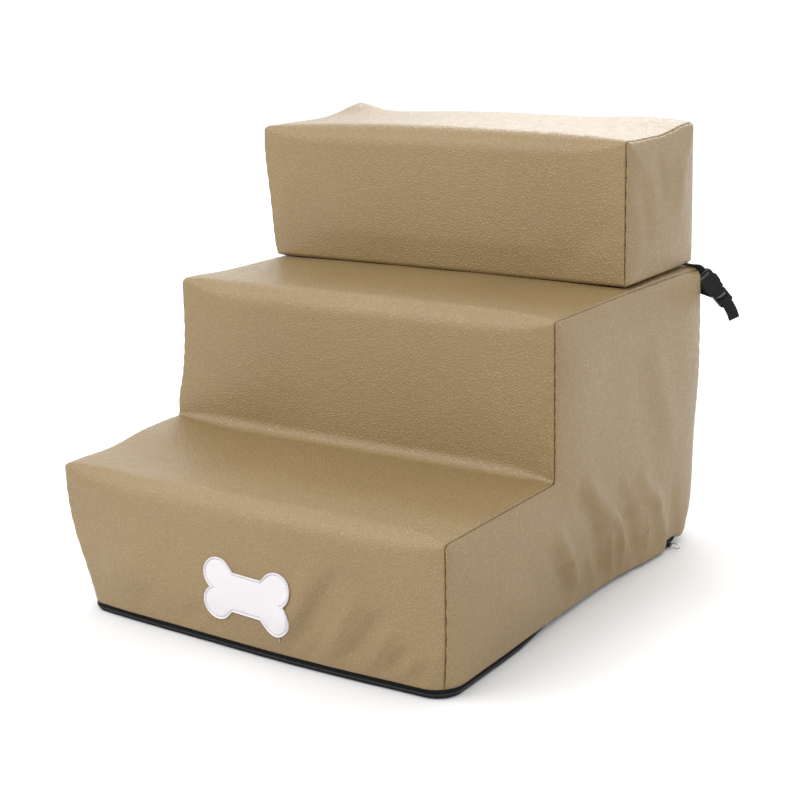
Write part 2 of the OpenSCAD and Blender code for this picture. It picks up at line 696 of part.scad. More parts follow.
placed() lower_foam();
placed() upper_foam();
placed() step_cover();
placed() base_side(-1);  // left_side_panel
placed() base_side(1);  // right_side_panel
placed() back_panel();
placed() bottom_panel();
placed() cover_zip_tape();
placed() bottom_zip_tape();
placed() base_zip_coil();
placed() base_zip_stops();
placed() base_zip_slider();
placed() base_zip_pull();
placed() bone_label();
placed() block_foam();
placed() block_cover();
placed() block_side(-1);  // block_left_panel
placed() block_side(1);  // block_right_panel
placed() block_bottom_panel();
placed() block_zip_tapes();
placed() block_zip_coil();
placed() block_zip_stops();
placed() block_zip_slider();
placed() block_zip_pull();
placed() block_strap(1);  // right_block_strap
placed() base_strap(1);  // right_base_strap
placed() strap_tail(1);  // right_strap_tail
placed() buckle_socket(1);  // right_buckle_socket
placed() buckle_plug(1);  // right_buckle_plug
placed() arm(1, 1);  // right_upper_arm
placed() arm(1, -1);  // right_lower_arm
placed() block_strap(-1);  // left_block_strap
placed() base_strap(-1);  // left_base_strap
placed() strap_tail(-1);  // left_strap_tail
placed() buckle_socket(-1);  // left_buckle_socket
placed() buckle_plug(-1);  // left_buckle_plug
placed() arm(-1, 1);  // left_upper_arm
placed() arm(-1, -1);  // left_lower_arm
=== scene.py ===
import math
import bpy
import numpy as np
from mathutils import Matrix, Vector


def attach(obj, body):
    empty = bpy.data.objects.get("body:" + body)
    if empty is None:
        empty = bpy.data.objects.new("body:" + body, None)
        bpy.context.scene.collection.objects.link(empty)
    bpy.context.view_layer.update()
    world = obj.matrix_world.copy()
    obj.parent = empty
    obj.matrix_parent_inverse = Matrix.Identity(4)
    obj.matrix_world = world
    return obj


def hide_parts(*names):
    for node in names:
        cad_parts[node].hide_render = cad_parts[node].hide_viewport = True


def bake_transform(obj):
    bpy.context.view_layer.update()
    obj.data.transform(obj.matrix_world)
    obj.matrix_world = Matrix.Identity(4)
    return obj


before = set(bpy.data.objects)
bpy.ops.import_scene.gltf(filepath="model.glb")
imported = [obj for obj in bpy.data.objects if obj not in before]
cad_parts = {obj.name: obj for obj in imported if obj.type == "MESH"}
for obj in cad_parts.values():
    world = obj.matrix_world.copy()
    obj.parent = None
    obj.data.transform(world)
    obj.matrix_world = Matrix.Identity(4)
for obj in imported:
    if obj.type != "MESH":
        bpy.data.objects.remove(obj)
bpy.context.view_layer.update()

# ---- Camera and studio ----
# The camera stands right of the stairs and a little above them, 1.3 m away, and leans by just
# over a degree. The floor is pale, and large soft lights stand over it.

azimuth, elevation, lean = (math.radians(turn) for turn in (33.75, 14.995, -1.361))
camera = bpy.data.objects.new("camera", bpy.data.cameras.new("camera"))
away = Vector((math.sin(azimuth) * math.cos(elevation), -math.cos(azimuth) * math.cos(elevation),
               math.sin(elevation)))
level = Vector((0, 0, 1)).cross(away).normalized()
upright = away.cross(level)
across = math.cos(lean) * level + math.sin(lean) * upright
upright = math.cos(lean) * upright - math.sin(lean) * level
camera.matrix_world = Matrix((across, upright, away)).transposed().to_4x4()
camera.location = (0.72463, -1.08748, 0.49224)
camera.data.lens = 74.16
camera.data.clip_end = 200
bpy.context.collection.objects.link(camera)
bpy.context.scene.camera = camera

floor_paint = bpy.data.materials.new("floor_paint")
floor_paint.use_nodes = True
floor_shader = floor_paint.node_tree.nodes["Principled BSDF"]
floor_shader.inputs["Base Color"].default_value = (0.78, 0.78, 0.78, 1)
floor_shader.inputs["Roughness"].default_value = 0.9
floor_shader.inputs["Specular IOR Level"].default_value = 0.1
floor_mesh = bpy.data.meshes.new("studio_floor")
floor_reach = 40
floor_mesh.from_pydata([(x * floor_reach, y * floor_reach, 0)
                        for x, y in ((-1, -1), (1, -1), (1, 1), (-1, 1))], [], [(0, 1, 2, 3)])
floor_mesh.materials.append(floor_paint)
studio_floor = bpy.data.objects.new("studio_floor", floor_mesh)
bpy.context.collection.objects.link(studio_floor)

sky = bpy.data.worlds.new("studio")
sky.use_nodes = True
sky.node_tree.nodes["Background"].inputs["Color"].default_value = (1, 1, 1, 1)
sky.node_tree.nodes["Background"].inputs["Strength"].default_value = 1.3
bpy.context.scene.world = sky
bpy.context.scene.view_settings.view_transform = "Standard"


def soft_light(name, place, target, size, power):
    """A square area light at place that faces target."""
    lamp = bpy.data.lights.new(name, "AREA")
    lamp.size = size
    lamp.energy = power
    light = bpy.data.objects.new(name, lamp)
    light.location = place
    aim = Vector(target) - Vector(place)
    light.rotation_euler = aim.to_track_quat("-Z", "Y").to_euler()
    bpy.context.collection.objects.link(light)


soft_light("front_light", (-0.4, -0.85, 1.15), (0, 0.15, 0.4), 0.8, 8)
soft_light("side_light", (1.9, -0.3, 1.2), (0, 0, 0.2), 1.2, 1)
soft_light("rear_light", (-0.5, 1.9, 1.7), (0, 0, 0.3), 1.6, 30)

# ---- Leather cover of the base ----
# Tan artificial leather with a pebble grain and a woven backing, cut as one strip for both
# risers and treads, two L-shaped sides and a back, and sewn inside out, so each seam lies in a
# shallow groove. The hem is turned under at the foot. Lengths are in millimetres up to mesh_of.

front_y = 213.446
half_w, stair_d = 175.0, 404.0
step_1_h, step_2_h, tread_1_d = 115.0, 237.0, 153.0
nose_r, crease_r, edge_r, foot_r = 14.0, 12.0, 3.0, 20.0
foot_taper_h, hem_h, hem_roll = 55.0, 7.5, 1.4
pressed_y, pressed_z, pressed_r = 235.0, 190.0, 12.0
leather_t = 0.0012
riser_crown, tread_crown, side_crown, crown_rise = 2.5, 2.0, 4.0, 30.0
seam_share = 1 - math.cos(math.radians(45))
seam_depth, seam_half_w = 1.05, 0.85
corner_share, corner_reach, rear_lift_reach = 0.72, 24.0, 6.0
pucker_pitch, pucker_h, pucker_reach = 11.5, 0.28, 4.5
edge_swell, edge_swell_reach, seam_clear = 0.8, 6.0, 12.0
wave_count, wave_least, wave_most = 8, 45, 130


def mix(a, b, share):
    """The value that lies a share of the way from a to b."""
    return a + (b - a) * share


def straight(start, end, turn, spacing):
    """Rows of y, z and the outward normal's angle, evenly from start to end."""
    count = max(2, math.ceil(math.dist(start, end) / spacing) + 1)
    share = np.linspace(0, 1, count)[:, None]
    places = mix(np.array(start), np.array(end), share)
    return np.hstack([places, np.full((count, 1), math.radians(turn))])


def bend(centre, radius, first, last, spacing):
    """The same rows round an arc: centre plus radius times the direction of the normal."""
    length = abs(radius * math.radians(last - first))
    turns = np.radians(np.linspace(first, last, max(4, math.ceil(length / spacing) + 1)))
    places = np.array(centre) + radius * np.stack([np.cos(turns), np.sin(turns)], 1)
    return np.hstack([places, turns[:, None]])


def joined(pieces):
    """One path of the pieces, each of which starts where the one before it ends."""
    return np.vstack([pieces[0]] + [piece[1:] for piece in pieces[1:]])


def walked(places):
    """Length of a line up to each of its places: the running sum of the steps between them."""
    steps = np.linalg.norm(np.diff(places, axis=0), axis=1)
    return np.concatenate([[0], np.cumsum(steps)])


def cross_places(half, spacing):
    """Distances from the left seam across to the right one, close together near both seams."""
    near = np.array([0, 0.3, 0.65, 1.05, 1.5, 2.1, 2.9, 4, 5.5, 7.5, 10])
    count = math.ceil((half - near[-1]) / spacing) + 1
    inner = np.linspace(near[-1], half, count)[1:]
    left = np.concatenate([near, inner])
    return np.concatenate([left, 2 * half - left[-2::-1]])


def base_radius(y, z):
    """Radius of the base's sewn edges: wide at the hem, where it falls with the square of the
    height, and wide again where the block's weight presses the rear of tread 2 down."""
    foot = (foot_r - edge_r) * np.clip(1 - (z - hem_h) / foot_taper_h, 0, 1) ** 2
    pressed = np.clip((y - pressed_y) / (stair_d - pressed_y), 0, 1) ** 1.5
    pressed = pressed * np.clip((z - pressed_z) / (step_2_h - pressed_z), 0, 1)
    return edge_r + foot + (pressed_r - edge_r) * pressed


def groove(distance):
    """Depth of a seam's groove at a distance from it: a bell curve."""
    return seam_depth * np.exp(-(distance / seam_half_w) ** 2)


def puckers(y, z, distance):
    """Small gathers along a seam: a sine wave of uneven length that dies out away from it."""
    place = y + z
    wave = np.sin(2 * math.pi * place / pucker_pitch + 1.8 * np.sin(place / 17))
    tall = pucker_h * (0.6 + 0.4 * np.sin(place / 41))
    return wave * tall * np.exp(-(distance / pucker_reach) ** 2)


def unevenness(a, b, seed):
    """Slow swell of the foam under the leather: the mean of eight sine waves whose directions,
    lengths and starts are drawn from the seed."""
    draw = np.random.default_rng(seed)
    swell = np.zeros(np.broadcast(a, b).shape)
    for _ in range(wave_count):
        turn, wave = draw.uniform(0, math.pi), draw.uniform(wave_least, wave_most)
        phase = draw.uniform(0, 6.28)
        swell += np.sin((a * math.cos(turn) + b * math.sin(turn)) * 2 * math.pi / wave + phase)
    return swell / wave_count


def near_seam(y, z, distance):
    """The foam's rise off a seam, which levels out over a few millimetres, and the puckers."""
    return edge_swell * (1 - np.exp(-distance / edge_swell_reach)) + puckers(y, z, distance)


def folds(a, b, ridges):
    """Ridges of slack leather. Each runs between two places, with a height and a half width; it
    is a bell curve across, and fades out towards its ends."""
    height = np.zeros(np.broadcast(a, b).shape)
    for a_0, b_0, a_1, b_1, tall, wide in ridges:
        length = math.hypot(a_1 - a_0, b_1 - b_0)
        along = ((a - a_0) * (a_1 - a_0) + (b - b_0) * (b_1 - b_0)) / length ** 2
        off = ((a - a_0) * (b_1 - b_0) - (b - b_0) * (a_1 - a_0)) / length
        reach = np.clip(1 - (2 * along - 1) ** 4, 0, 1) ** 2
        height += tall * reach * np.exp(-(off / wide) ** 2)
    return height


def to_corners(path, corners):
    """Shift of each row from its rounded bend to a bend almost as sharp as a folded edge. Each
    corner is a bend's centre and radius, and where its two faces would meet."""
    shift = np.zeros((len(path), 2))
    for centre, radius, corner in corners:
        on_bend = np.abs(np.hypot(*(path[:, :2] - centre).T) - abs(radius)) < 0.01
        shift[on_bend] = corner_share * (corner - path[on_bend, :2])
        reach = np.array(corner) - centre
        inside = ((path[:, :2] - centre) * np.sign(reach) > -0.01).all(1)
        shift[on_bend & ~inside] = 0
    return shift


def to_rear_corners(path):
    """Lift of the back's rows towards the rear corners, where the seam with the strip ends: it
    fades away below the seam."""
    on_back = (path[:, 0] > stair_d - 0.01) & (path[:, 1] < step_2_h - nose_r + 0.01)
    fade = np.exp((path[:, 1] - step_2_h + nose_r) / rear_lift_reach)
    return np.stack([on_back * 0.0, corner_share * nose_r * fade * on_back], 1)


def strip_points(path, half, crowns, radii, end_gap, extra, shift):
    """A strip of leather across the stairs. Each row follows the path; across it the leather
    crowns towards its middle, rounds over at both seams and dips into their grooves. Towards the
    seams its bends sharpen to pointed corners."""
    y, z, turn = path.T
    turn = np.clip(turn, 0, math.pi)
    radius = radii[:, None]
    places = cross_places(half - edge_r * seam_share, 3.2)
    wide = places[-1]
    u = places / wide * 2 - 1
    x = u[None, :] * (half - radius * seam_share)
    past = np.clip(np.abs(x) - (half - radius), 0, None)
    inward = radius - np.sqrt(radius ** 2 - past ** 2)
    near = np.minimum(places, wide - places)[None, :]
    swell = crowns[:, None] * (1 - np.abs(u) ** 3)[None, :]
    seam = groove(near)
    out = swell - inward + extra(x, path) * np.clip(near / seam_clear, 0, 1)
    out = out + near_seam(y[:, None], z[:, None], near)
    out = out - seam / math.sqrt(2) - groove(end_gap)[:, None]
    side = np.sign(u)[None, :] * seam / math.sqrt(2)
    sharp = np.exp(-(near / corner_reach) ** 1.5)
    return np.stack([x - side,
                     y[:, None] + out * np.cos(turn)[:, None] + sharp * shift[:, :1],
                     z[:, None] + out * np.sin(turn)[:, None] + sharp * shift[:, 1:]], -1)


def pulled(points, pulls):
    """Places moved by the cover's pull on its foam: each pull is a place, a shift and a reach,
    and fades with the distance from its place by a bell curve."""
    moved = points.copy()
    for *centre, dx, dy, dz, reach in pulls:
        gap = ((points - centre) ** 2).sum(-1, keepdims=True)
        moved += np.exp(-gap / reach ** 2) * np.array([dx, dy, dz])
    return moved


def mesh_of(name, points, faces, pulls=()):
    """A smooth mesh in the row's frame, in metres, from points in millimetres of the stairs."""
    places = (pulled(points.reshape(-1, 3), pulls) - (0, front_y, 0)) * 0.001
    mesh = bpy.data.meshes.new(name)
    mesh.from_pydata(places.tolist(), [], faces.tolist() if hasattr(faces, "tolist") else faces)
    mesh.polygons.foreach_set("use_smooth", np.ones(len(mesh.polygons), bool))
    mesh.update()
    return mesh


def grid_faces(rows, columns, turned=False, ring=False, loop=False):
    """Four-sided faces between neighbours of a grid; a ring also joins its last column to its
    first, and a loop its last row to its first."""
    index = np.arange(rows * columns).reshape(rows, columns)
    if ring:
        index = np.hstack([index, index[:, :1]])
    if loop:
        index = np.vstack([index, index[:1]])
    corners = [index[:-1, :-1], index[:-1, 1:], index[1:, 1:], index[1:, :-1]]
    return np.stack(corners[::-1] if turned else corners, -1).reshape(-1, 4)


def fan_faces(start, count, pole, turned=False):
    """Triangles from each side of a closed ring to the place that closes it."""
    ring = [start + np.arange(count), start + (np.arange(count) + 1) % count]
    return np.stack((ring[::-1] if turned else ring) + [np.full(count, pole)], -1).tolist()


def add_piece(name, mesh, body, nodes, material):
    """Put a mesh in the scene, on its body, in place of its CAD nodes."""
    piece = bpy.data.objects.new(name, mesh)
    bpy.context.collection.objects.link(piece)
    mesh.materials.append(material)
    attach(piece, body)
    if nodes:
        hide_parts(*nodes)
    return piece


def add_wall(piece, thickness):
    """Give a sheet its thickness, on the inner side of its faces."""
    wall = piece.modifiers.new("thickness", "SOLIDIFY")
    wall.thickness = thickness
    wall.offset = -1


def add_leather(name, mesh, body, node):
    """A panel of leather over its foam: its mesh is the outer face, and its wall lies inside."""
    piece = add_piece(name, mesh, body, [node], tan_leather)
    add_wall(piece, leather_t)


def finish(name):
    """An empty node material, with its shader, and short ways to add and link nodes."""
    material = bpy.data.materials.new(name)
    material.use_nodes = True
    nodes, links = material.node_tree.nodes, material.node_tree.links
    shader = nodes["Principled BSDF"]

    def add(kind, inputs=(), **settings):
        node = nodes.new(kind)
        for key, value in settings.items():
            setattr(node, key, value)
        for socket, value in dict(inputs).items():
            if isinstance(value, bpy.types.NodeSocket):
                links.new(value, node.inputs[socket])
            else:
                node.inputs[socket].default_value = value
        return node

    def to_shader(socket, value):
        if isinstance(value, bpy.types.NodeSocket):
            links.new(value, shader.inputs[socket])
        else:
            shader.inputs[socket].default_value = value
    return material, add, to_shader


def leather_finish(name, light, dark):
    """Pebble-grained artificial leather. Cells of a smooth Voronoi pattern, bent by noise, raise
    the pebbles; the creases between them are painted darker as shade, and the colour drifts
    slowly."""
    material, add, to_shader = finish(name)
    place = add("ShaderNodeTexCoord").outputs["Object"]
    waver = add("ShaderNodeTexNoise", {"Vector": place, "Scale": 300.0, "Detail": 2.0})
    shift = add("ShaderNodeVectorMath", {0: waver.outputs["Color"], 1: (0.5, 0.5, 0.5)},
                operation="SUBTRACT")
    small = add("ShaderNodeVectorMath", {0: shift.outputs[0], "Scale": 0.0022}, operation="SCALE")
    bent = add("ShaderNodeVectorMath", {0: place, 1: small.outputs[0]}, operation="ADD")
    cells = add("ShaderNodeTexVoronoi", {"Vector": bent.outputs[0], "Scale": 410.0},
                feature="DISTANCE_TO_EDGE")
    pebble = add("ShaderNodeMapRange", {"Value": cells.outputs["Distance"], "From Max": 0.34},
                 interpolation_type="SMOOTHSTEP")
    fine = add("ShaderNodeTexNoise", {"Vector": place, "Scale": 2600.0, "Detail": 3.0})
    broad = add("ShaderNodeTexNoise", {"Vector": place, "Scale": 150.0, "Detail": 3.0})
    slow = add("ShaderNodeTexNoise", {"Vector": place, "Scale": 9.0, "Detail": 2.0})
    height = add("ShaderNodeMath", {0: fine.outputs["Fac"], 1: 0.22,
                                    2: pebble.outputs["Result"]}, operation="MULTIPLY_ADD")
    height = add("ShaderNodeMath", {0: broad.outputs["Fac"], 1: 1.6, 2: height.outputs[0]},
                 operation="MULTIPLY_ADD")
    bump = add("ShaderNodeBump", {"Height": height.outputs[0], "Strength": 0.6,
                                  "Distance": 0.0004})
    tone = add("ShaderNodeMapRange", {"Value": slow.outputs["Fac"], "From Min": 0.3,
                                      "From Max": 0.7})
    drift = add("ShaderNodeMix", {0: tone.outputs["Result"], 6: light, 7: dark}, data_type="RGBA")
    # Painted shade: the colour is darkened to 0.84 in the grain's creases and lifted to 1.03 on
    # the pebbles' tops.
    crease = add("ShaderNodeMapRange", {"Value": pebble.outputs["Result"], "To Min": 0.84,
                                        "To Max": 1.03})
    shade = add("ShaderNodeMix", {0: 1.0, 6: drift.outputs[2], 7: crease.outputs["Result"]},
                data_type="RGBA", blend_type="MULTIPLY")
    rough = add("ShaderNodeMapRange", {"Value": broad.outputs["Fac"], "From Min": 0.3,
                                       "From Max": 0.7, "To Min": 0.32, "To Max": 0.43})
    to_shader("Base Color", shade.outputs[2])
    to_shader("Roughness", rough.outputs["Result"])
    to_shader("Normal", bump.outputs["Normal"])
    to_shader("Specular IOR Level", 0.5)
    return material


tan_leather = leather_finish("tan_leather", (0.273, 0.187, 0.084, 1), (0.255, 0.173, 0.077, 1))

riser_1_top, riser_2_top = step_1_h - nose_r, step_2_h - nose_r
crease_y, crease_z = tread_1_d - crease_r, step_1_h + crease_r
rear_y = stair_d - nose_r
step_path = joined([
    bend((hem_roll, hem_h + hem_roll), hem_roll, 290, 180, 0.5),
    straight((0, hem_h + hem_roll), (0, riser_1_top), 180, 2.6),
    bend((nose_r, riser_1_top), nose_r, 180, 90, 1.5),
    straight((nose_r, step_1_h), (crease_y, step_1_h), 90, 2.8),
    bend((crease_y, crease_z), -crease_r, 90, 180, 1.5),
    straight((tread_1_d, crease_z), (tread_1_d, riser_2_top), 180, 2.8),
    bend((tread_1_d + nose_r, riser_2_top), nose_r, 180, 90, 1.5),
    straight((tread_1_d + nose_r, step_2_h), (rear_y, step_2_h), 90, 3.4),
    bend((rear_y, riser_2_top), nose_r, 90, 0, 1.2)])


def along(path):
    """Length of the path up to each of its points."""
    return walked(path[:, :2])


def base_crowns(path):
    """How far the leather stands out in its middle: little at the hem and in the crease."""
    y, z, turn = path.T
    level = mix(riser_crown, tread_crown, np.sin(turn) ** 2)
    return level * np.clip((z - hem_h) / crown_rise, 0, 1)


# Where the sewn corners and slack sides stand off the true shape: place, shift and reach
base_pulls = [(-175, 153, 118, -7, -7, 5, 34), (-175, 100, 115, -4, -2, 7, 44),
              (-175, 155, 170, -5, 0, 0, 40), (-175, 160, 230, -3, 0, 2, 30),
              (-175, 12, 112, -1, 0, 4, 40), (-175, 0, 8, 10, 3, 0, 45),
              (-175, 0, 45, 4, 0, 0, 30), (175, 404, 228, 3, 4, 0, 45),
              (175, 404, 150, 2, 5, 0, 50), (175, 404, 238, 0, 0, -1, 34),
              (175, 397, 0, -1, -2, 14, 19), (50, 0, 0, 0, -5, 0, 110)]
# The slack right side draws in along its foot
base_pulls += [(175, y, 0, -5, 0, 1, 46) for y in (165, 215, 265)]
# Bends that sharpen to points at the seams: centre, radius and where the two faces would meet
step_corners = [((nose_r, riser_1_top), nose_r, (0, step_1_h)),
                ((crease_y, crease_z), crease_r, (tread_1_d, step_1_h)),
                ((tread_1_d + nose_r, riser_2_top), nose_r, (tread_1_d, step_2_h)),
                ((rear_y, riser_2_top), nose_r, (stair_d, step_2_h))]
# Valleys and ridges of slack low on riser 1: x and length up the strip at both ends, height and
# half width
riser_folds = [(46, 7, 90, 80, -3.6, 5.5), (93, 7, 124, 54, -3.4, 5), (126, 6, 145, 31, -2.4, 4),
               (149, 5, 158, 20, -1.5, 3), (59, 2, 69, 17, -1.6, 3), (30, 2, 70, 78, 2.6, 7.5),
               (73, 2, 108, 68, 3.1, 6.5), (109, 3, 136, 46, 2.6, 5), (138, 3, 153, 28, 1.8, 4),
               (-150, 30, -70, 56, 1.8, 17), (-60, 5, -38, 22, -1.1, 6),
               (-110, 4, -90, 26, -1.0, 8)]


def base_extra(x, path):
    """Swell and folds of the strip, on its length and its width."""
    s = along(path)[:, None]
    return 0.35 * unevenness(x, s, 3) + folds(x, s, riser_folds)


def end_distance(path, end_seam):
    """Distance to the seam that crosses the strip's end, or far away where there is none."""
    gap = along(path)
    return gap[-1] - gap if end_seam else np.full(len(path), 1000.0)


def add_strip(name, points, pulls, body, node):
    """A strip of leather from its grid of points."""
    mesh = mesh_of(name, points, grid_faces(*points.shape[:2]), pulls)
    add_leather(name, mesh, body, node)


step_points = strip_points(step_path, half_w, base_crowns(step_path),
                           base_radius(*step_path[:, :2].T), end_distance(step_path, True),
                           base_extra, to_corners(step_path, step_corners))
add_strip("step_cover_leather", step_points, base_pulls, "base", "step_cover")

back_path = joined([
    straight((stair_d, riser_2_top), (stair_d, riser_2_top - 6), 0, 0.5),
    straight((stair_d, riser_2_top - 6), (stair_d, hem_h + hem_roll), 0, 3.2),
    bend((stair_d - hem_roll, hem_h + hem_roll), hem_roll, 0, -110, 0.5)])


def back_extra(x, path):
    """Slow swell of the back."""
    return 0.5 * unevenness(x, along(path)[:, None], 5)


back_points = strip_points(back_path, half_w, base_crowns(back_path),
                           base_radius(*back_path[:, :2].T), along(back_path), back_extra,
                           to_rear_corners(back_path))
add_strip("back_leather", back_points, base_pulls, "base", "back_panel")


def seam_line(path, half, radii):
    """Where two panels meet: the path moved in by its rounded edge's share, on the right side."""
    y, z, turn = path.T
    inset = radii * seam_share
    return np.stack([half - inset, y - inset * np.cos(turn), z - inset * np.sin(turn)], 1)


def to_line(y, z, line):
    """Distance from each place to the nearest piece of an open line."""
    start, step = line[:-1], np.diff(line, axis=0)
    dy, dz = y[:, None] - start[:, 0], z[:, None] - start[:, 1]
    share = np.clip((dy * step[:, 0] + dz * step[:, 1]) / (step ** 2).sum(1), 0, 1)
    return np.hypot(dy - share * step[:, 0], dz - share * step[:, 1]).min(1)


def side_rings(seam, hem, centre, near, inner):
    """Rings of a side panel from its edge in to its centre, which sees the whole edge. The outer
    rings stand at fixed distances square to the edge, averaged past its corners, and the rest
    share out what is left."""
    edge = np.vstack([seam, hem])
    step = np.roll(edge, -1, 0) - np.roll(edge, 1, 0)
    square = np.stack([step[:, 1], -step[:, 0]], 1) / np.hypot(*step.T)[:, None]
    spread = edge - centre
    support = np.abs((spread * square).sum(1))
    around = np.concatenate([support[-8:], support, support[:8]])
    support = np.convolve(around, np.full(17, 1 / 17), "valid")
    outer = [1 - gap / support for gap in near]
    return [centre + spread * share[:, None]
            for share in outer + [outer[-1] * (1 - part) for part in inner]]


def side_mesh(name, seam, hem, centre, surface, side, pulls):
    """A side panel: its rings joined to each other and closed by a fan round its centre."""
    near = np.array([0, 0.3, 0.65, 1.05, 1.5, 2.1, 2.9, 4, 5.5, 7.5, 10, 13])
    rings = side_rings(seam[:, 1:], hem, centre, near, np.linspace(0, 1, 44)[1:-1])
    points = [surface(*ring.T, to_line(*ring.T, seam[:, 1:])) for ring in rings + [centre[None]]]
    count = len(seam) + len(hem)
    pole = len(rings) * count
    faces = grid_faces(len(rings), count, side > 0, True).tolist()
    faces += fan_faces(pole - count, count, pole, side > 0)
    return mesh_of(name, np.vstack(points) * (side, 1, 1), faces, pulls)


base_seam_path = np.vstack([step_path, back_path[1:]])
base_seam_path = base_seam_path[np.abs(base_seam_path[:, 2] - math.pi / 2) < math.pi / 2 + 0.01]
base_seam_path[[0, -1], 1] = hem_h
base_seam_turns = base_seam_path[:, 2].copy()
base_seam = seam_line(base_seam_path, half_w, base_radius(*base_seam_path[:, :2].T))
base_seam[:, 1:] += np.where(base_seam_turns[:, None] > 0.001,
                             to_corners(base_seam_path, step_corners),
                             to_rear_corners(base_seam_path))
base_hem = mix(base_seam[-1, 1:], base_seam[0, 1:], np.linspace(0, 1, 130)[1:-1, None])
side_centre = np.array([215.0, 62.0])
side_crown_reach, zip_end_y = 45.0, stair_d - foot_r - 22
# The side's hem hangs over the zip from slack_y on, and is notched round the slider
hem_drop, hem_flare, slack_y, slack_run, slack_seam, slack_h = 5.0, 3.6, 90.0, 110.0, 18.0, 16.0
notch_y, notch_half_l = zip_end_y - 5, 13.0
# Ridges and valleys low on the sides: y and z at both ends, height and half width
left_folds = [(60, 84, 92, 8, 2.2, 9), (100, 60, 118, 6, -2.0, 7), (150, 88, 176, 10, 2.4, 8),
              (196, 70, 206, 6, -2.0, 7), (232, 120, 246, 10, 2.6, 10), (286, 80, 282, 8, 1.8, 7),
              (330, 150, 322, 40, 1.8, 14), (160, 116, 205, 60, -2.2, 11)]
right_folds = [(186, 108, 264, 44, 3.6, 9), (240, 66, 288, 6, 3.4, 7), (236, 58, 254, 6, 2.4, 4),
               (256, 46, 270, 8, 1.8, 3.5), (144, 86, 196, 14, 3.2, 6.5),
               (198, 48, 228, 8, 2.0, 5), (284, 90, 330, 42, 2.8, 9), (314, 68, 344, 6, 3.2, 8),
               (308, 44, 302, 4, 2.0, 3.5), (176, 108, 226, 46, -3.4, 9),
               (208, 68, 244, 8, -3.2, 8), (242, 92, 284, 44, -3.0, 9),
               (268, 66, 297, 6, -3.0, 8), (134, 74, 182, 10, -2.8, 8),
               (352, 66, 358, 10, -1.6, 8), (270, 190, 330, 80, -1.6, 16),
               (300, 200, 356, 90, 1.8, 15), (60, 70, 120, 20, 1.2, 14)]


def smooth_least(a, b):
    """The lesser of two distances, rounded where they are alike."""
    return (np.maximum(a, 0.01) ** -3.0 + np.maximum(b, 0.01) ** -3.0) ** (-1 / 3)


def rounded_over(distance, radius):
    """How far a side's face falls back at its seam: a quarter circle from the seam's place."""
    beyond = np.clip(distance + radius * seam_share, 0, radius)
    return radius - np.sqrt(radius ** 2 - (radius - beyond) ** 2)


def base_side_surface(y, z, distance, ridges, seed):
    """The base's side, as on its right: its flat face, rounded at the seams and crowned in the
    middle, with folds, and with the hem rolled in at the foot and slack over the zip."""
    free = smooth_least(distance, z - hem_h)
    crown = side_crown * (1 - (1 - np.clip(free / side_crown_reach, 0, 1)) ** 2)
    uneven = 0.5 * unevenness(y, z, seed) + folds(y, z, ridges)
    above = np.clip(hem_h + hem_roll - z, 0, hem_roll)
    x = (half_w - rounded_over(distance, base_radius(y, z)) + crown + near_seam(y, z, distance)
         + uneven * np.clip(distance / seam_clear, 0, 1)
         - hem_roll + np.sqrt(hem_roll ** 2 - above ** 2))
    slack = np.clip((y - slack_y) / slack_run, 0, 1) * np.clip(distance / slack_seam, 0, 1)
    slack = slack ** 2 * (3 - 2 * slack) * np.exp(-np.clip(z - hem_h, 0, None) / slack_h)
    slack = slack * (1 - np.exp(-((y - notch_y) / notch_half_l) ** 4))
    return np.stack([x + hem_flare * slack, y, z - hem_drop * slack], 1)


for side, side_name, ridges, seed in ((1, "right", right_folds, 8), (-1, "left", left_folds, 21)):
    side_panel = side_mesh(f"{side_name}_side_leather", base_seam, base_hem, side_centre,
                           lambda y, z, distance: base_side_surface(y, z, distance, ridges, seed),
                           side, base_pulls)
    add_leather(f"{side_name}_side_leather", side_panel, "base", f"{side_name}_side_panel")

# ---- Foam inside the covers ----
# Two slabs of cream polyether foam glued on each other fill the base, and a third fills the
# block. Each is cut square with its upper edges and upright corners eased to suit the cover.

foam, add, to_shader = finish("cream_foam")
foam_place = add("ShaderNodeTexCoord").outputs["Object"]
foam_cells = add("ShaderNodeTexVoronoi", {"Vector": foam_place, "Scale": 900.0})
foam_tone = add("ShaderNodeMix", {0: foam_cells.outputs["Distance"], 6: (0.80, 0.72, 0.50, 1),
                                  7: (0.62, 0.53, 0.33, 1)}, data_type="RGBA")
foam_bump = add("ShaderNodeBump", {"Height": foam_cells.outputs["Distance"], "Strength": 0.8,
                                   "Distance": 0.0004})
to_shader("Base Color", foam_tone.outputs[2])
to_shader("Normal", foam_bump.outputs["Normal"])
to_shader("Roughness", 0.95)
foam_gap, foam_corner_r, foam_top_r, foam_below = 4.2, 16.0, 10.0, 1.5


def rounded_plan(half, front, rear, radius, spacing):
    """Closed loop of x, y and outward angle round a plan with rounded corners, leftwards from
    the right rear corner's end, seen from below."""
    left, right, near, far = radius - half, half - radius, front + radius, rear - radius
    return joined([
        straight((half, far), (half, near), 0, spacing),
        bend((right, near), radius, 0, -90, spacing / 2),
        straight((right, front), (left, front), -90, spacing),
        bend((left, near), radius, -90, -180, spacing / 2),
        straight((-half, near), (-half, far), -180, spacing),
        bend((left, far), radius, -180, -270, spacing / 2),
        straight((left, rear), (right, rear), -270, spacing),
        bend((right, far), radius, -270, -360, spacing / 2)])[:-1]


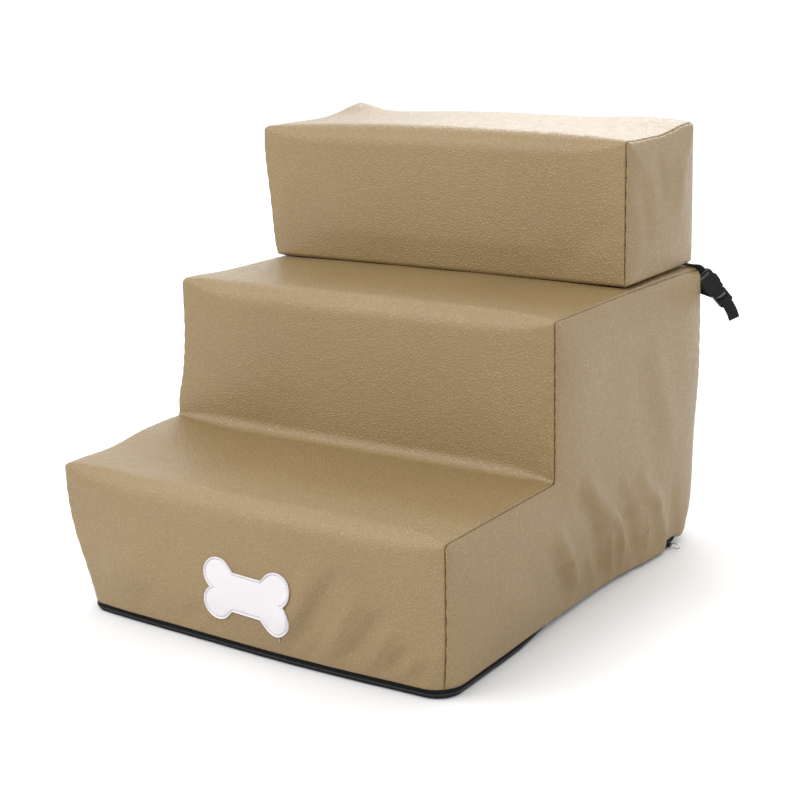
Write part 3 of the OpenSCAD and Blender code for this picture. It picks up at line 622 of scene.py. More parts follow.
def stacked_mesh(name, loop, insets, heights, pulls):
    """A block whose plan is moved in by an inset at each height. The last ring at either end
    shrinks to a point at the plan's middle, so the block is closed."""
    x, y, turn = loop.T
    middle = np.array([(x.min() + x.max()) / 2, (y.min() + y.max()) / 2])
    rings = []
    for inset, z in zip(insets, heights):
        ring = np.stack([x - inset * np.cos(turn), y - inset * np.sin(turn)], 1)
        rings.append(np.hstack([ring, np.full((len(ring), 1), z)]))
    low, high = ([np.hstack([mix(middle, ring[:, :2], share), ring[:, 2:]])
                  for share in (0.5, 0.93)] for ring in (rings[0], rings[-1]))
    rings = low + rings + high[::-1]
    count = len(loop)
    points = np.vstack(rings + [[[*middle, heights[0]], [*middle, heights[-1]]]])
    pole = len(rings) * count
    faces = grid_faces(len(rings), count, True, True).tolist() + fan_faces(0, count, pole)
    faces += fan_faces(pole - count, count, pole + 1, True)
    return mesh_of(name, points, faces, pulls)


def foam_slab(name, body, node, half, front, rear, low, high, pulls):
    """A slab of foam with its top edges rounded over."""
    turns = np.linspace(0, math.pi / 2, 7)
    insets = [2.0, 0.6, 0.0] + list(foam_top_r * (1 - np.cos(turns)))
    heights = [low, low + 0.6, low + 2] + list(high - foam_top_r + foam_top_r * np.sin(turns))
    loop = rounded_plan(half, front, rear, foam_corner_r, 12)
    slab = add_piece(name, stacked_mesh(name, loop, insets, heights, pulls), body, [node],
                     foam)


foam_half, foam_rear, foam_joint = half_w - foam_gap, stair_d - foam_gap, step_1_h - foam_below
foam_slab("lower_foam_slab", "base", "lower_foam", foam_half, foam_gap, foam_rear, 2.3, foam_joint,
          base_pulls)
foam_slab("upper_foam_slab", "base", "upper_foam", foam_half, tread_1_d + foam_gap, foam_rear,
          foam_joint, step_2_h - foam_below, base_pulls)

# ---- Zip round the foot ----
# A black coil zip runs round the front and both sides. Its upper tape is sewn behind the hem and
# its lower one to the edge of the black non-slip fabric, which goes on up behind the back's hem.


def fine_finish(name, scale, detail, colours, roughs, bump=None, sockets=()):
    """A finish with one fine noise. It mixes two colours and two roughnesses, or leaves one as it
    is, and raises a bump of a strength and a height in metres."""
    material, add, to_shader = finish(name)
    place = add("ShaderNodeTexCoord").outputs["Object"]
    noise = add("ShaderNodeTexNoise", {"Vector": place, "Scale": scale, "Detail": detail})
    noise = noise.outputs["Fac"]
    colours = [(*colour, 1) for colour in colours]
    if len(colours) == 2:
        mixed = add("ShaderNodeMix", {0: noise, 6: colours[0], 7: colours[1]}, data_type="RGBA")
        to_shader("Base Color", mixed.outputs[2])
    else:
        to_shader("Base Color", colours[0])
    if len(roughs) == 2:
        mixed = add("ShaderNodeMapRange", {"Value": noise, "To Min": roughs[0],
                                           "To Max": roughs[1]})
        to_shader("Roughness", mixed.outputs["Result"])
    else:
        to_shader("Roughness", roughs[0])
    if bump:
        raised = add("ShaderNodeBump", {"Height": noise, "Strength": bump[0], "Distance": bump[1]})
        to_shader("Normal", raised.outputs["Normal"])
    for socket, value in dict(sockets).items():
        to_shader(socket, value)
    return material


black_cloth = fine_finish("black_tape_cloth", 1500.0, 2.0,
                          [(0.003, 0.003, 0.004), (0.010, 0.010, 0.011)], [0.85], (0.6, 0.0002),
                          {"Specular IOR Level": 0.2})
coil_plastic = fine_finish("black_coil_plastic", 700.0, 2.0, [(0.020, 0.020, 0.023)], [0.3, 0.5])
zip_pitch, tape_t = 1.5, 0.0007


def foot_line(inset, spacing):
    """Open line of x, y and outward angle at an inset from the foot's outer face: forward along
    the right side, across the front and back along the left."""
    radius, side = foot_r - inset, half_w - foot_r
    return joined([
        straight((half_w - inset, zip_end_y), (half_w - inset, foot_r), 0, spacing),
        bend((side, foot_r), radius, 0, -90, spacing),
        straight((side, inset), (-side, inset), -90, spacing),
        bend((-side, foot_r), radius, -90, -180, spacing),
        straight((inset - half_w, foot_r), (inset - half_w, zip_end_y), -180, spacing)])


def beside(line, out, z):
    """Places off a line of x, y and outward angle: moved out along that angle, and at height z."""
    x, y, turn = line.T[:, :, None]
    return np.stack([x + out * np.cos(turn), y + out * np.sin(turn),
                     np.broadcast_to(z, out.shape)], -1)


def add_tape(name, line, insets, heights, body, node, pulls):
    """A band of black tape that follows a line of the plan. At each point of its profile it
    stands at an inset from the outer face and at a height, and below the hem it waves a little,
    by the sum of two sine waves."""
    insets, heights = np.array(insets), np.array(heights)
    walk = walked(line[:, :2])
    slack = 0.12 * np.sin(walk / 13) + 0.08 * np.sin(walk / 5.1 + 1)
    points = beside(line, slack[:, None] * (heights < hem_h) - insets, heights)
    mesh = mesh_of(name, points, grid_faces(*points.shape[:2]), pulls)
    mesh.flip_normals()
    add_wall(add_piece(name, mesh, body, [node], black_cloth), tape_t)


foot = foot_line(0, 3)
add_tape("upper_zip_tape", foot, [1.9, 1.85, 1.75, 1.6, 1.4, 1.35, 1.35],
         [13.5, 9.5, 7.6, 6.6, 5.6, 4.8, 4.2], "base", "cover_zip_tape", base_pulls)
add_tape("lower_zip_tape", foot, [1.35, 1.35, 1.45, 1.65, 2.05, 2.6],
         [2.9, 2.4, 1.7, 1.1, 0.6, 0.35], "base", "bottom_zip_tape", base_pulls)


def add_tubes(name, lines, sides, radius, body, nodes, material, pulls=()):
    """Closed tubes round many short lines as one piece, with lines of shape (tubes, stations, 3).
    Each ring stands square to its line, and the end rings are smaller so the ends look round."""
    heading = np.gradient(lines, axis=1)
    heading /= np.linalg.norm(heading, axis=-1, keepdims=True)
    helper = np.where(np.abs(heading[..., 2:]) < 0.8, np.array([0, 0, 1.0]), np.array([1.0, 0, 0]))
    helper = np.broadcast_to(helper[:, :1], heading.shape)
    first = np.cross(heading, helper)
    first /= np.linalg.norm(first, axis=-1, keepdims=True)
    second = np.cross(heading, first)
    turns = np.arange(sides) * 2 * math.pi / sides
    size = np.full(lines.shape[1], radius)
    size[[0, -1]] *= 0.45
    ring = (np.cos(turns)[:, None] * first[:, :, None] + np.sin(turns)[:, None]
            * second[:, :, None]) * size[None, :, None, None]
    points = lines[:, :, None] + ring
    tubes, stations = lines.shape[:2]
    one = grid_faces(stations, sides, False, True)
    per_tube = stations * sides
    offset = np.arange(tubes)[:, None, None] * per_tube
    walls = (one[None] + offset).reshape(-1, 4).tolist()
    start = (np.arange(sides)[::-1][None] + offset[:, 0]).tolist()
    end = (np.arange(sides)[None] + per_tube - sides + offset[:, 0]).tolist()
    mesh = mesh_of(name, points, walls + start + end, pulls)
    add_piece(name, mesh, body, nodes, material)


def spaced(line, spacing):
    """The rows of a line read off at even distances along it."""
    walk = walked(line[:, :-1])
    at = np.arange(spacing, walk[-1], spacing)
    return np.stack([np.interp(at, walk, column) for column in line.T], 1)


coil_low, coil_high, coil_proud, coil_in = 2.75, 4.25, 0.75, 1.15
coil_lift, coil_wire_r, coil_end = 0.28, 0.33, 6


def coil_lines(line, base_z):
    """Half loops that stand out from the zip's middle by a half sine, in turn a little higher and
    lower, at half the pitch along a line of x, y and outward angle."""
    spots = spaced(line, zip_pitch / 2)[coil_end:-coil_end]
    swing = np.linspace(0, math.pi, 6)
    lift = np.where(np.arange(len(spots)) % 2 == 0, coil_lift, -coil_lift)
    z = mix(coil_high, coil_low, (1 - np.cos(swing)) / 2) + lift[:, None] + base_z
    return beside(spots, np.broadcast_to(coil_proud * np.sin(swing) - coil_in, z.shape), z)


add_tubes("zip_teeth", coil_lines(foot_line(0, 2), 0), 5, coil_wire_r, "base",
          ["base_zip_coil"], coil_plastic, base_pulls)


def softened(name, node, body, material, edge):
    """A CAD node's shape with its edges broken: a copy, merged, with a small bevel."""
    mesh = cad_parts[node].data.copy()
    mesh.name = name
    mesh.materials.clear()
    copy = add_piece(name, mesh, body, [node], material)
    merge = copy.modifiers.new("merged", "WELD")
    merge.merge_threshold = 0.00001
    bevel = copy.modifiers.new("eased_edges", "BEVEL")
    bevel.width = edge
    bevel.segments = 3
    bevel.limit_method = "ANGLE"
    bevel.angle_limit = math.radians(35)


slider_enamel = fine_finish("black_slider_enamel", 900.0, 3.0, [(0.014, 0.014, 0.016)],
                            [0.22, 0.4], None, {"Metallic": 0.35})
silver_wire = fine_finish("silver_wire", 1200.0, 2.0, [(0.72, 0.71, 0.68)], [0.16, 0.3], None,
                          {"Metallic": 1.0})
metal_edge = 0.0003
softened("foot_zip_stops", "base_zip_stops", "base", coil_plastic, metal_edge)
softened("foot_zip_slider", "base_zip_slider", "base_slider", slider_enamel,
         metal_edge)
pull_l, pull_h, wire_r, pull_out, pull_z = 10.5, 5.0, 0.5, 1.7, 3.5
slider_back = 7.8


def wire_loop(name, body, node, place):
    """A slider's pull: round wire bent to a loop, upright and square to the zip. Its line is an
    oval that is drawn out towards the slider; place turns it to the zip it hangs on."""
    stations, sides = 72, 12
    turns = np.linspace(0, 2 * math.pi, stations + 1)[:-1]
    width = (pull_h / 2 - wire_r) * (1 - 0.18 * np.cos(turns))
    out = pull_out + wire_r + (pull_l / 2 - wire_r) * (1 - np.cos(turns))
    rise = np.sign(np.sin(turns)) * np.abs(np.sin(turns)) ** 0.85 * width
    line = np.stack([out, rise], 1)
    heading = np.roll(line, -1, 0) - np.roll(line, 1, 0)
    heading /= np.hypot(*heading.T)[:, None]
    around = np.linspace(0, 2 * math.pi, sides + 1)[:-1]
    square = heading[:, None, ::-1] * (1, -1)
    flat = line[:, None] + wire_r * np.cos(around)[None, :, None] * square
    side = np.broadcast_to(wire_r * np.sin(around)[None, :], flat.shape[:2])
    points = place(flat[..., 0], side, flat[..., 1] + pull_z)
    mesh = mesh_of(name, points, grid_faces(stations, sides, False, True, True))
    add_piece(name, mesh, body, [node], silver_wire)


slider_y = zip_end_y - slider_back
wire_loop("foot_zip_pull", "base_pull", "base_zip_pull",
          lambda out, side, up: np.stack([half_w + out, slider_y + side, up], -1))

# ---- Bottom of the base ----
# A black non-slip fabric with rows of small raised dots, cut to the foot's plan. Along the back,
# where the zip ends, it turns up behind the leather's hem.

grip_cloth, add, to_shader = finish("dotted_grip_cloth")
grip_place = add("ShaderNodeTexCoord").outputs["Object"]
grip_dots = add("ShaderNodeTexVoronoi", {"Vector": grip_place, "Scale": 170.0, "Randomness": 0.0})
grip_dot = add("ShaderNodeMapRange", {"Value": grip_dots.outputs["Distance"], "From Min": 0.22,
                                      "From Max": 0.32, "To Min": 1.0, "To Max": 0.0})
grip_weave = add("ShaderNodeTexNoise", {"Vector": grip_place, "Scale": 1800.0, "Detail": 3.0})
grip_height = add("ShaderNodeMath", {0: grip_weave.outputs["Fac"], 1: 0.3,
                                     2: grip_dot.outputs["Result"]}, operation="MULTIPLY_ADD")
grip_bump = add("ShaderNodeBump", {"Height": grip_height.outputs[0], "Strength": 0.8,
                                   "Distance": 0.0005})
grip_tone = add("ShaderNodeMix", {0: grip_dot.outputs["Result"], 6: (0.020, 0.020, 0.022, 1),
                                  7: (0.045, 0.045, 0.048, 1)}, data_type="RGBA")
to_shader("Base Color", grip_tone.outputs[2])
to_shader("Normal", grip_bump.outputs["Normal"])
to_shader("Roughness", 0.75)

bottom_inset, bottom_t = 2.6, 2.0
bottom_loop = rounded_plan(half_w - bottom_inset, bottom_inset, stair_d - bottom_inset,
                           foot_r - bottom_inset, 5)
bottom_mesh = stacked_mesh("bottom_fabric", bottom_loop, [0.9, 0.2, 0.0, 0.0, 0.3],
                           [0.0, 0.25, 0.8, bottom_t - 0.3, bottom_t], base_pulls)
add_piece("bottom_fabric", bottom_mesh, "base", ["bottom_panel"], grip_cloth)
rear_line = joined([
    straight((-half_w, zip_end_y), (-half_w, stair_d - foot_r), 180, 3),
    bend((foot_r - half_w, stair_d - foot_r), foot_r, 180, 90, 2),
    straight((foot_r - half_w, stair_d), (half_w - foot_r, stair_d), 90, 4),
    bend((half_w - foot_r, stair_d - foot_r), foot_r, 90, 0, 2),
    straight((half_w, stair_d - foot_r), (half_w, zip_end_y), 0, 3)])
add_tape("rear_foot_band", rear_line, [1.9, 1.8, 1.5, 1.3, 1.5, 2.2],
         [13.5, 8.0, 6.0, 3.5, 1.2, 0.3], "base", "bottom_panel", base_pulls)

# ---- Seams of the base ----
# Lockstitched with brown polyester thread, three millimetres a stitch. Only short lengths of
# thread show, down in the grooves.

thread = fine_finish("brown_thread", 3000.0, 2.0, [(0.11, 0.075, 0.036), (0.19, 0.13, 0.066)],
                     [0.7])
stitch_pitch, stitch_l, stitch_r, stitch_depth = 3.2, 2.0, 0.2, 0.8


def stitch_lines(line):
    """Short arcs along a line of x, y, z and the direction that its groove opens to."""
    walk = walked(line[:, :3])
    middle = np.arange(stitch_pitch, walk[-1] - stitch_pitch, stitch_pitch)
    part = np.linspace(-0.5, 0.5, 4)
    at = middle[:, None] + part[None, :] * stitch_l
    rows = np.stack([np.interp(at, walk, column) for column in line.T], -1)
    sink = stitch_depth + 0.5 * (2 * part) ** 4 * stitch_r * 2
    return rows[..., :3] - rows[..., 3:] * sink[None, :, None]


def seam_with_opening(seam, turns, side):
    """A side seam with its groove's direction, halfway between the side's and the strip's."""
    lean = math.sqrt(0.5)
    opening = np.stack([np.full(len(turns), lean), lean * np.cos(turns), lean * np.sin(turns)], 1)
    return np.hstack([seam, opening]) * (side, 1, 1, side, 1, 1)


def across_seam(half, y, z, turn):
    """A seam straight across, with its groove's direction."""
    x = np.linspace(-half + 3, half - 3, 60)
    facing = np.tile([0, math.cos(turn), math.sin(turn)], (len(x), 1))
    return np.hstack([np.stack([x, x * 0 + y, x * 0 + z], 1), facing])


base_stitches = np.vstack(
    [stitch_lines(seam_with_opening(base_seam, base_seam_turns, side)) for side in (1, -1)]
    + [stitch_lines(across_seam(half_w, stair_d, riser_2_top, 0))])
add_tubes("base_seam_thread", base_stitches, 6, stitch_r, "base", (), thread,
          base_pulls)

# ---- Label ----
# A bone moulded in soft white rubber with a raised rim, sewn to riser 1 through the groove inside
# the rim. It hangs a little down to the right, and a loose end of thread sticks out below.

bone_l, bone_h, lobe_up, lobe_r = 54.4, 30.4, 11.0, 13.2
label_x, label_z, label_tilt = 7.2, 47.6, math.radians(1.8)
rubber = fine_finish("white_rubber", 500.0, 3.0,
                     [(0.65, 0.625, 0.645), (0.61, 0.585, 0.605)], [0.45], (0.25, 0.0002),
                     {"Subsurface Weight": 0.1, "Subsurface Radius": (0.002, 0.002, 0.002)})


def bone_reach(turns, inset):
    """Distance from the bone's middle to its outline in each direction: the farthest of its bar
    and its four lobes."""
    x, z = np.cos(turns), np.sin(turns)
    wide, tall = bone_l / 2, bone_h / 2 - inset
    bar = np.minimum(wide / np.maximum(np.abs(x), 1e-6), tall / np.maximum(np.abs(z), 1e-6))
    near = wide * np.abs(x) + lobe_up * np.abs(z)
    off = wide ** 2 + lobe_up ** 2 - near ** 2
    room = (lobe_r - inset) ** 2 - off
    lobe = np.where(room > 0, near + np.sqrt(np.clip(room, 0, None)), 0)
    return np.maximum(bar, lobe)


riser_1 = (step_path[:, 2] > math.pi - 0.001) & (step_path[:, 0] < 1)
riser_points = step_points[riser_1]


def riser_face(x, z):
    """The y of riser 1's leather at each x and z, between the four nearest of its points."""
    row = np.interp(z, riser_points[:, 0, 2], np.arange(len(riser_points)))
    column = np.interp(x, riser_points[4, :, 0], np.arange(riser_points.shape[1]))
    low, left = row.astype(int), column.astype(int)
    up, over = row - low, column - left
    y = riser_points[..., 1]
    return mix(mix(y[low, left], y[low, left + 1], over),
               mix(y[low + 1, left], y[low + 1, left + 1], over), up)


def on_riser(x, z, out):
    """Places on riser 1: turned by the label's tilt, moved to its middle, and out from the
    leather."""
    x_at = x * math.cos(label_tilt) + z * math.sin(label_tilt) + label_x
    z_at = z * math.cos(label_tilt) - x * math.sin(label_tilt) + label_z
    return np.stack([x_at, riser_face(x_at, z_at) - out, z_at], -1)


bone_count = 720
bone_turns = np.linspace(0, 2 * math.pi, bone_count + 1)[:-1]
# Rows of inset from the outline and height, from the back's edge over the rim to the panel
bone_profile = np.array([
    (0.5, -0.3), (0.1, 0.0), (0.0, 0.45), (0.0, 1.1), (0.08, 1.4), (0.25, 1.6), (0.5, 1.65),
    (0.75, 1.55), (0.9, 1.28), (1.05, 1.15), (1.2, 1.1), (1.35, 0.85), (1.5, 0.65), (1.7, 0.65),
    (1.9, 0.85), (2.1, 1.1), (2.8, 1.15)])
bone_back, bone_panel = bone_profile[0, 1], bone_profile[-1, 1]
inner_shares = (0.2, 0.4, 0.65, 0.85)
reach = [share * bone_reach(bone_turns, bone_profile[0, 0]) for share in inner_shares]
reach += [bone_reach(bone_turns, inset) for inset in bone_profile[:, 0]]
reach += [share * reach[-1] for share in inner_shares[::-1]]
heights = [bone_back] * 4 + list(bone_profile[:, 1]) + [bone_panel] * 4
bone_rings = [on_riser(r * np.cos(bone_turns), r * np.sin(bone_turns), h)
              for r, h in zip(reach, heights)]
bone_poles = [on_riser(np.zeros(1), np.zeros(1), h) for h in (bone_panel, bone_back)]
bone_pole = len(bone_rings) * bone_count
bone_faces = (grid_faces(len(bone_rings), bone_count, False, True).tolist()
              + fan_faces(bone_pole - bone_count, bone_count, bone_pole)
              + fan_faces(0, bone_count, bone_pole + 1, True))
bone_mesh = mesh_of("bone_tag", np.vstack(bone_rings + bone_poles), bone_faces, base_pulls)
add_piece("bone_tag", bone_mesh, "base", ["bone_label"], rubber)

white_thread = fine_finish("white_thread", 3000.0, 2.0, [(0.36, 0.35, 0.36), (0.50, 0.49, 0.50)],
                           [0.7])
bone_seam_inset, bone_stitch_pitch, bone_stitch_l = 1.6, 2.6, 1.8
bone_seam_r = bone_reach(bone_turns, bone_seam_inset)
bone_seam = np.stack([bone_seam_r * np.cos(bone_turns), bone_seam_r * np.sin(bone_turns)], 1)
bone_walk = walked(bone_seam)
bone_at = (np.arange(0, bone_walk[-1] - 1, bone_stitch_pitch)[:, None]
           + np.linspace(0, bone_stitch_l, 4)[None, :])
bone_x, bone_z = (np.interp(bone_at, bone_walk, bone_seam[:, k]) for k in (0, 1))
stitch_rise = np.array([0.6, 0.85, 0.85, 0.6])
add_tubes("bone_tag_thread", on_riser(bone_x, bone_z, stitch_rise[None, :]), 6, stitch_r, "base",
          (), white_thread, base_pulls)
loose_x, loose_top, loose_low, loose_out = 36.8, 23.5, 18.3, 0.5
end_z = np.linspace(loose_top, loose_low, 7)
end_x = loose_x + 0.5 * np.sin((loose_top - end_z) / 1.6)
loose_end = np.stack([end_x, riser_face(end_x, end_z) - loose_out, end_z], -1)[None]
add_tubes("bone_tag_loose_thread", loose_end, 6, 0.35, "base", (), white_thread,
          base_pulls)

# ---- Block ----
# The third step: a leather box of its own over a foam block, sewn like the base, with one strip
# for its front, top and back, two side panels, and a black cloth bottom.

block_half, block_d, block_h = 170.0, 127.0, 114.0
block_y, block_z = stair_d - block_d, 239.3
block_crown, block_roll, block_hem = 3.0, 4.0, 7.1
block_side_crown, block_crown_reach = 5.5, 42.0
block_top, block_rear = block_h - nose_r, block_d - nose_r
block_path = joined([
    bend((block_roll, block_roll), block_roll, 285, 180, 0.8),
    straight((0, block_roll), (0, block_top), 180, 2.8),
    bend((nose_r, block_top), nose_r, 180, 90, 1.5),
    straight((nose_r, block_h), (block_rear, block_h), 90, 2.8),
    bend((block_rear, block_top), nose_r, 90, 0, 1.5),
    straight((block_d, block_top), (block_d, block_hem + hem_roll), 0, 3),
    bend((block_d - hem_roll, block_hem + hem_roll), hem_roll, 0, -110, 0.5)])
block_pulls = [(-170, 277, 353, -10, 0, -1, 50), (-170, 277, 300, -6, 0, 0, 48),
               (-170, 277, 255, -3, 0, 0, 30), (-170, 404, 353, 0, 4, 9, 34),
               (0, 404, 353, 0, 0, 3, 120), (170, 404, 345, -1, 0, 2, 45),
               (130, 396, 353, 0, 0, 3, 36), (170, 340, 353, 0, 0, -2, 30),
               (170, 300, 353, 0, 0, -1, 18)]
block_ridges = [(-150, 236, 60, 242, 0.9, 9), (110, 12, 160, 60, -0.9, 12),
                (-165, 20, -140, 90, 0.9, 10)]
block_side_folds = [(16, 96, 34, 20, -1.5, 9), (44, 104, 60, 60, -1.3, 8),
                    (96, 100, 84, 40, 1.2, 10)]


def block_extra(x, path):
    """Swell and folds of the block's strip."""
    s = along(path)[:, None]
    return 0.4 * unevenness(x, s, 11) + folds(x, s, block_ridges)


def block_crowns(path):
    """How far the block's strip stands out in its middle."""
    y, z, turn = path.T
    return mix(riser_crown, block_crown, np.sin(turn) ** 2) * np.clip((z - 2) / 25, 0, 1)


def in_block(points):
    """From the block's own place to that of the stairs."""
    return points + (0, block_y, block_z)


block_corners = [((nose_r, block_top), nose_r, (0, block_h)),
                 ((block_rear, block_top), nose_r, (block_d, block_h))]
block_points = strip_points(block_path, block_half, block_crowns(block_path),
                            np.full(len(block_path), edge_r), end_distance(block_path, False),
                            block_extra, to_corners(block_path, block_corners))
add_strip("block_leather", in_block(block_points), block_pulls, "block", "block_cover")

block_seam_path = block_path[np.abs(block_path[:, 2] - math.pi / 2) < math.pi / 2 + 0.01]
block_seam_path[0, 1], block_seam_path[-1, 1] = 0.6, 0.6
block_seam = seam_line(block_seam_path, block_half, np.full(len(block_seam_path), edge_r))
block_seam[:, 1:] += to_corners(block_seam_path, block_corners)
block_hem_line = mix(block_seam[-1, 1:], block_seam[0, 1:], np.linspace(0, 1, 46)[1:-1, None])
block_centre = np.array([block_d / 2, 55.0])


def block_side_surface(y, z, distance):
    """The block's right side: crowned, rounded at its seams, and rolled under at the bottom."""
    free = smooth_least(distance, z + 1)
    crown = block_side_crown * (1 - (1 - np.clip(free / block_crown_reach, 0, 1)) ** 2)
    uneven = 0.8 * unevenness(y, z, 15) + folds(y, z, block_side_folds)
    above = np.clip(block_roll - z, 0, block_roll)
    x = (block_half - rounded_over(distance, edge_r) + crown + near_seam(y, z, distance)
         + uneven * np.clip(distance / seam_clear, 0, 1)
         - block_roll + np.sqrt(block_roll ** 2 - above ** 2 * 0.95))
    return in_block(np.stack([x, y, z], 1))


for side, side_name in ((1, "right"), (-1, "left")):
    block_side = side_mesh(f"block_{side_name}_leather", block_seam, block_hem_line, block_centre,
                           block_side_surface, side, block_pulls)
    add_leather(f"block_{side_name}_leather", block_side, "block", f"block_{side_name}_panel")

foam_slab("block_foam_slab", "block", "block_foam", block_half - foam_gap, block_y + foam_gap,
          stair_d - foam_gap, block_z + 1.4, block_z + block_h - foam_below, block_pulls)
block_bottom_loop = rounded_plan(block_half - 1.5, block_y + 1.5, stair_d - 2.7, 5, 5)
block_bottom_mesh = stacked_mesh("block_bottom_cloth", block_bottom_loop, [0.4, 0.0, 0.0, 0.3],
                                 [block_z, block_z + 0.3, block_z + 0.9, block_z + 1.2],
                                 block_pulls)
add_piece("block_bottom_cloth", block_bottom_mesh, "block",
          ["block_bottom_panel"], black_cloth)

block_stitches = np.vstack([
    in_block(stitch_lines(seam_with_opening(block_seam, block_seam_path[:, 2], side)))
    for side in (1, -1)])
add_tubes("block_seam_thread", block_stitches, 6, stitch_r, "block", (), thread,
          block_pulls)

block_zip_half = block_half - 8
block_zip_line = straight((-block_zip_half, stair_d), (block_zip_half, stair_d), 90, 3)
block_zip_z = block_z - 0.4
for tape_name, insets, heights in (
        ("block_upper_tape", [1.9, 1.85, 1.75, 1.5, 1.2, 1.05, 1.05],
         [13.5, 9.5, 7.6, 6.6, 5.6, 4.8, 4.2]),
        ("block_lower_tape", [1.05, 1.05, 1.2, 1.5, 2.0, 2.6], [2.9, 2.4, 1.7, 1.1, 0.7, 0.5])):
    add_tape(tape_name, block_zip_line, insets, [block_zip_z + z for z in heights], "block",
             "block_zip_tapes", ())
add_tubes("block_zip_teeth", coil_lines(block_zip_line, block_zip_z), 5, coil_wire_r, "block",
          ["block_zip_coil"], coil_plastic)
softened("block_stops", "block_zip_stops", "block", coil_plastic, metal_edge)
softened("block_slider", "block_zip_slider", "block_slider", slider_enamel,
         metal_edge)
pull_rest_turn = math.radians(80)


def block_pull_place(out, side, up):
    """The loop turned about its upright side at the slider, so that it lies along the zip."""
    reach = out - pull_out
    turned_out = pull_out + reach * math.cos(pull_rest_turn) - side * math.sin(pull_rest_turn)
    turned_side = reach * math.sin(pull_rest_turn) + side * math.cos(pull_rest_turn)
    return np.stack([block_zip_half - slider_back - turned_side, stair_d + turned_out,
                     up + block_zip_z], -1)


wire_loop("block_pull_loop", "block_pull", "block_zip_pull", block_pull_place)

# ---- Straps and buckles ----
# At each rear corner a strap of 10 mm black polypropylene webbing leaves the seam under the block
# and holds the buckle's socket; a second comes from the base's corner to the plug's ladder lock
# and ends in a loose double tail. The buckles are moulded black acetal.

webbing, add, to_shader = finish("black_webbing")
weave_map = add("ShaderNodeUVMap", uv_map="weave")
weave = add("ShaderNodeTexWave", {"Vector": weave_map.outputs["UV"], "Scale": 0.42,
                                  "Distortion": 0.6, "Detail": 1.0}, bands_direction="DIAGONAL")
weave_tone = add("ShaderNodeMix", {0: weave.outputs["Fac"], 6: (0.002, 0.002, 0.0025, 1),
                                   7: (0.010, 0.009, 0.011, 1)}, data_type="RGBA")
weave_bump = add("ShaderNodeBump", {"Height": weave.outputs["Fac"], "Strength": 0.9,
                                    "Distance": 0.0003})
to_shader("Base Color", weave_tone.outputs[2])
to_shader("Normal", weave_bump.outputs["Normal"])
to_shader("Roughness", 0.62)
to_shader("Specular IOR Level", 0.22)
to_shader("Sheen Weight", 0.04)

buckle_plastic = fine_finish("black_acetal", 2200.0, 2.0, [(0.004, 0.004, 0.0045)], [0.3, 0.46],
                             (0.15, 0.0001), {"Specular IOR Level": 0.22})
strap_w, strap_t = 10.0, 1.0
corner_x, corner_y, diagonal = half_w - 9, stair_d - 6, math.sqrt(0.5)
# Middles of the straps out from the corner, along its diagonal, in webbing widths, with the
# direction of their width
block_strap_places = [(0, -0.6, -0.06), (0, 0.2, -0.06), (0, 0.65, -0.2), (0, 1.02, -0.44),
                      (0, 1.33, -0.76), (0, 1.54, -0.99)]
block_strap_widths = [(1, 0, 0), (1, 0, 0), (0.966, 0.08, 0.24), (0.707, 0.45, 0.54),
                      (0.259, 0.68, 0.68), (0, 0.7, 0.71)]
base_strap_places = [(-1.1, 0.02, -1.72), (-0.92, 0.6, -1.9), (-0.66, 1.6, -2.28),
                     (-0.43, 2.6, -2.68), (-0.31, 3.26, -2.95)]
base_strap_widths = [(0, 0, 1), (0, 0.3, 0.95), (0, 0.55, 0.83), (0, 0.766, 0.643),
                     (0, 0.766, 0.643)]
tail_places = [(0.29, 3.45, -3.17), (0.3, 3.85, -3.73), (0.29, 4.23, -4.38), (0.26, 4.48, -5.03)]
tail_widths = [(0, 0.766, 0.643), (0, 0.8, 0.58), (0, 0.87, 0.48), (0, 0.92, 0.38)]


def curve_through(points, steps):
    """A smooth curve through the points (Catmull-Rom), with steps between neighbours."""
    points = np.array(points, float)
    padded = np.vstack([2 * points[0] - points[1], points, 2 * points[-1] - points[-2]])
    at = np.linspace(0, len(points) - 1, (len(points) - 1) * steps + 1)
    k = np.minimum(at.astype(int), len(points) - 2)
    t = (at - k)[:, None]
    a, b, c, d = (padded[k + n] for n in range(4))
    return 0.5 * (2 * b + (c - a) * t + (2 * a - 5 * b + 4 * c - d) * t ** 2
                  + (3 * b - a - 3 * c + d) * t ** 3)


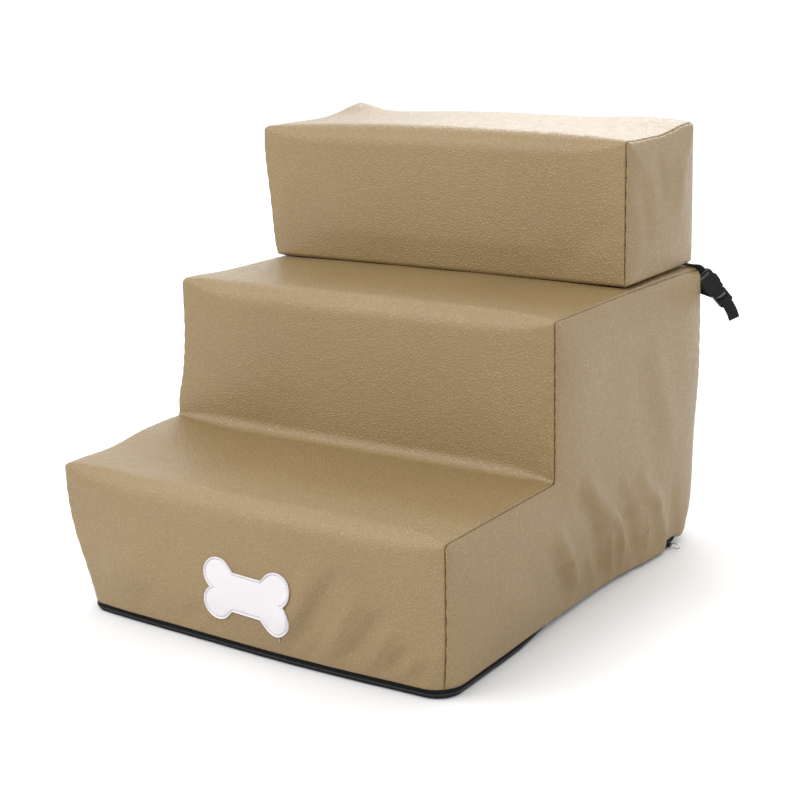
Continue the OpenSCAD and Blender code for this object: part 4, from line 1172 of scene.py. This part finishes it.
def band_mesh(name, places, widths, side):
    """Webbing: a flat band with rounded edges carried along a curve, closed at both ends, with a
    map of its length and width for the weave."""
    line, wide = curve_through(places, 10) * strap_w, curve_through(widths, 10)
    heading = np.gradient(line, axis=0)
    heading /= np.linalg.norm(heading, axis=1, keepdims=True)
    wide -= heading * (wide * heading).sum(1, keepdims=True)
    wide /= np.linalg.norm(wide, axis=1, keepdims=True)
    thick = np.cross(heading, wide)
    sides, rows = 24, len(line)
    turns = np.linspace(0, 2 * math.pi, sides + 1)[:-1]
    u = np.sign(np.cos(turns)) * np.abs(np.cos(turns)) ** 0.35 * strap_w / 2
    v = np.sign(np.sin(turns)) * np.abs(np.sin(turns)) ** 0.7 * strap_t / 2
    local = line[:, None] + wide[:, None] * u[None, :, None] + thick[:, None] * v[None, :, None]
    x = corner_x + (local[..., 0] + local[..., 1]) * diagonal
    y = corner_y + (local[..., 1] - local[..., 0]) * diagonal
    points = np.stack([side * x, y, block_z + local[..., 2]], -1)
    faces = grid_faces(rows, sides, side < 0, True).tolist()
    start, end = list(range(sides)), list(range((rows - 1) * sides, rows * sides))
    faces += [start[::-1], end] if side > 0 else [start, end[::-1]]
    mesh = mesh_of(name, points, faces)
    uv = np.stack([np.repeat(walked(line), sides), np.tile(u, rows)], 1)
    corners = np.zeros(len(mesh.loops), int)
    mesh.loops.foreach_get("vertex_index", corners)
    layer = mesh.uv_layers.new(name="weave")
    layer.data.foreach_set("uv", uv[corners].ravel().astype(np.float32))
    return mesh


for side, side_name in ((1, "right"), (-1, "left")):
    for label, places, widths, node in (
            ("block_webbing", block_strap_places, block_strap_widths, "block_strap"),
            ("base_webbing", base_strap_places, base_strap_widths, "base_strap"),
            ("tail_webbing", tail_places, tail_widths, "strap_tail")):
        piece_name = f"{side_name}_{label}"
        band = bpy.data.objects.new(piece_name, band_mesh(piece_name, places, widths, side))
        bpy.context.collection.objects.link(band)
        band.data.materials.append(webbing)
        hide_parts(f"{side_name}_{node}")
        if label == "block_webbing":
            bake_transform(band)
        elif label == "base_webbing":
            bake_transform(band)
        else:
            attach(band, f"{side_name}_plug")
    for label, node, body, edge in (
            ("socket", "buckle_socket", "base", 0.0005),
            ("plug", "buckle_plug", f"{side_name}_plug", 0.0004),
            ("upper_release", "upper_arm", f"{side_name}_upper_arm", 0.0003),
            ("lower_release", "lower_arm", f"{side_name}_lower_arm", 0.0003)):
        softened(f"{side_name}_{label}", f"{side_name}_{node}", body,
                 buckle_plastic, edge)
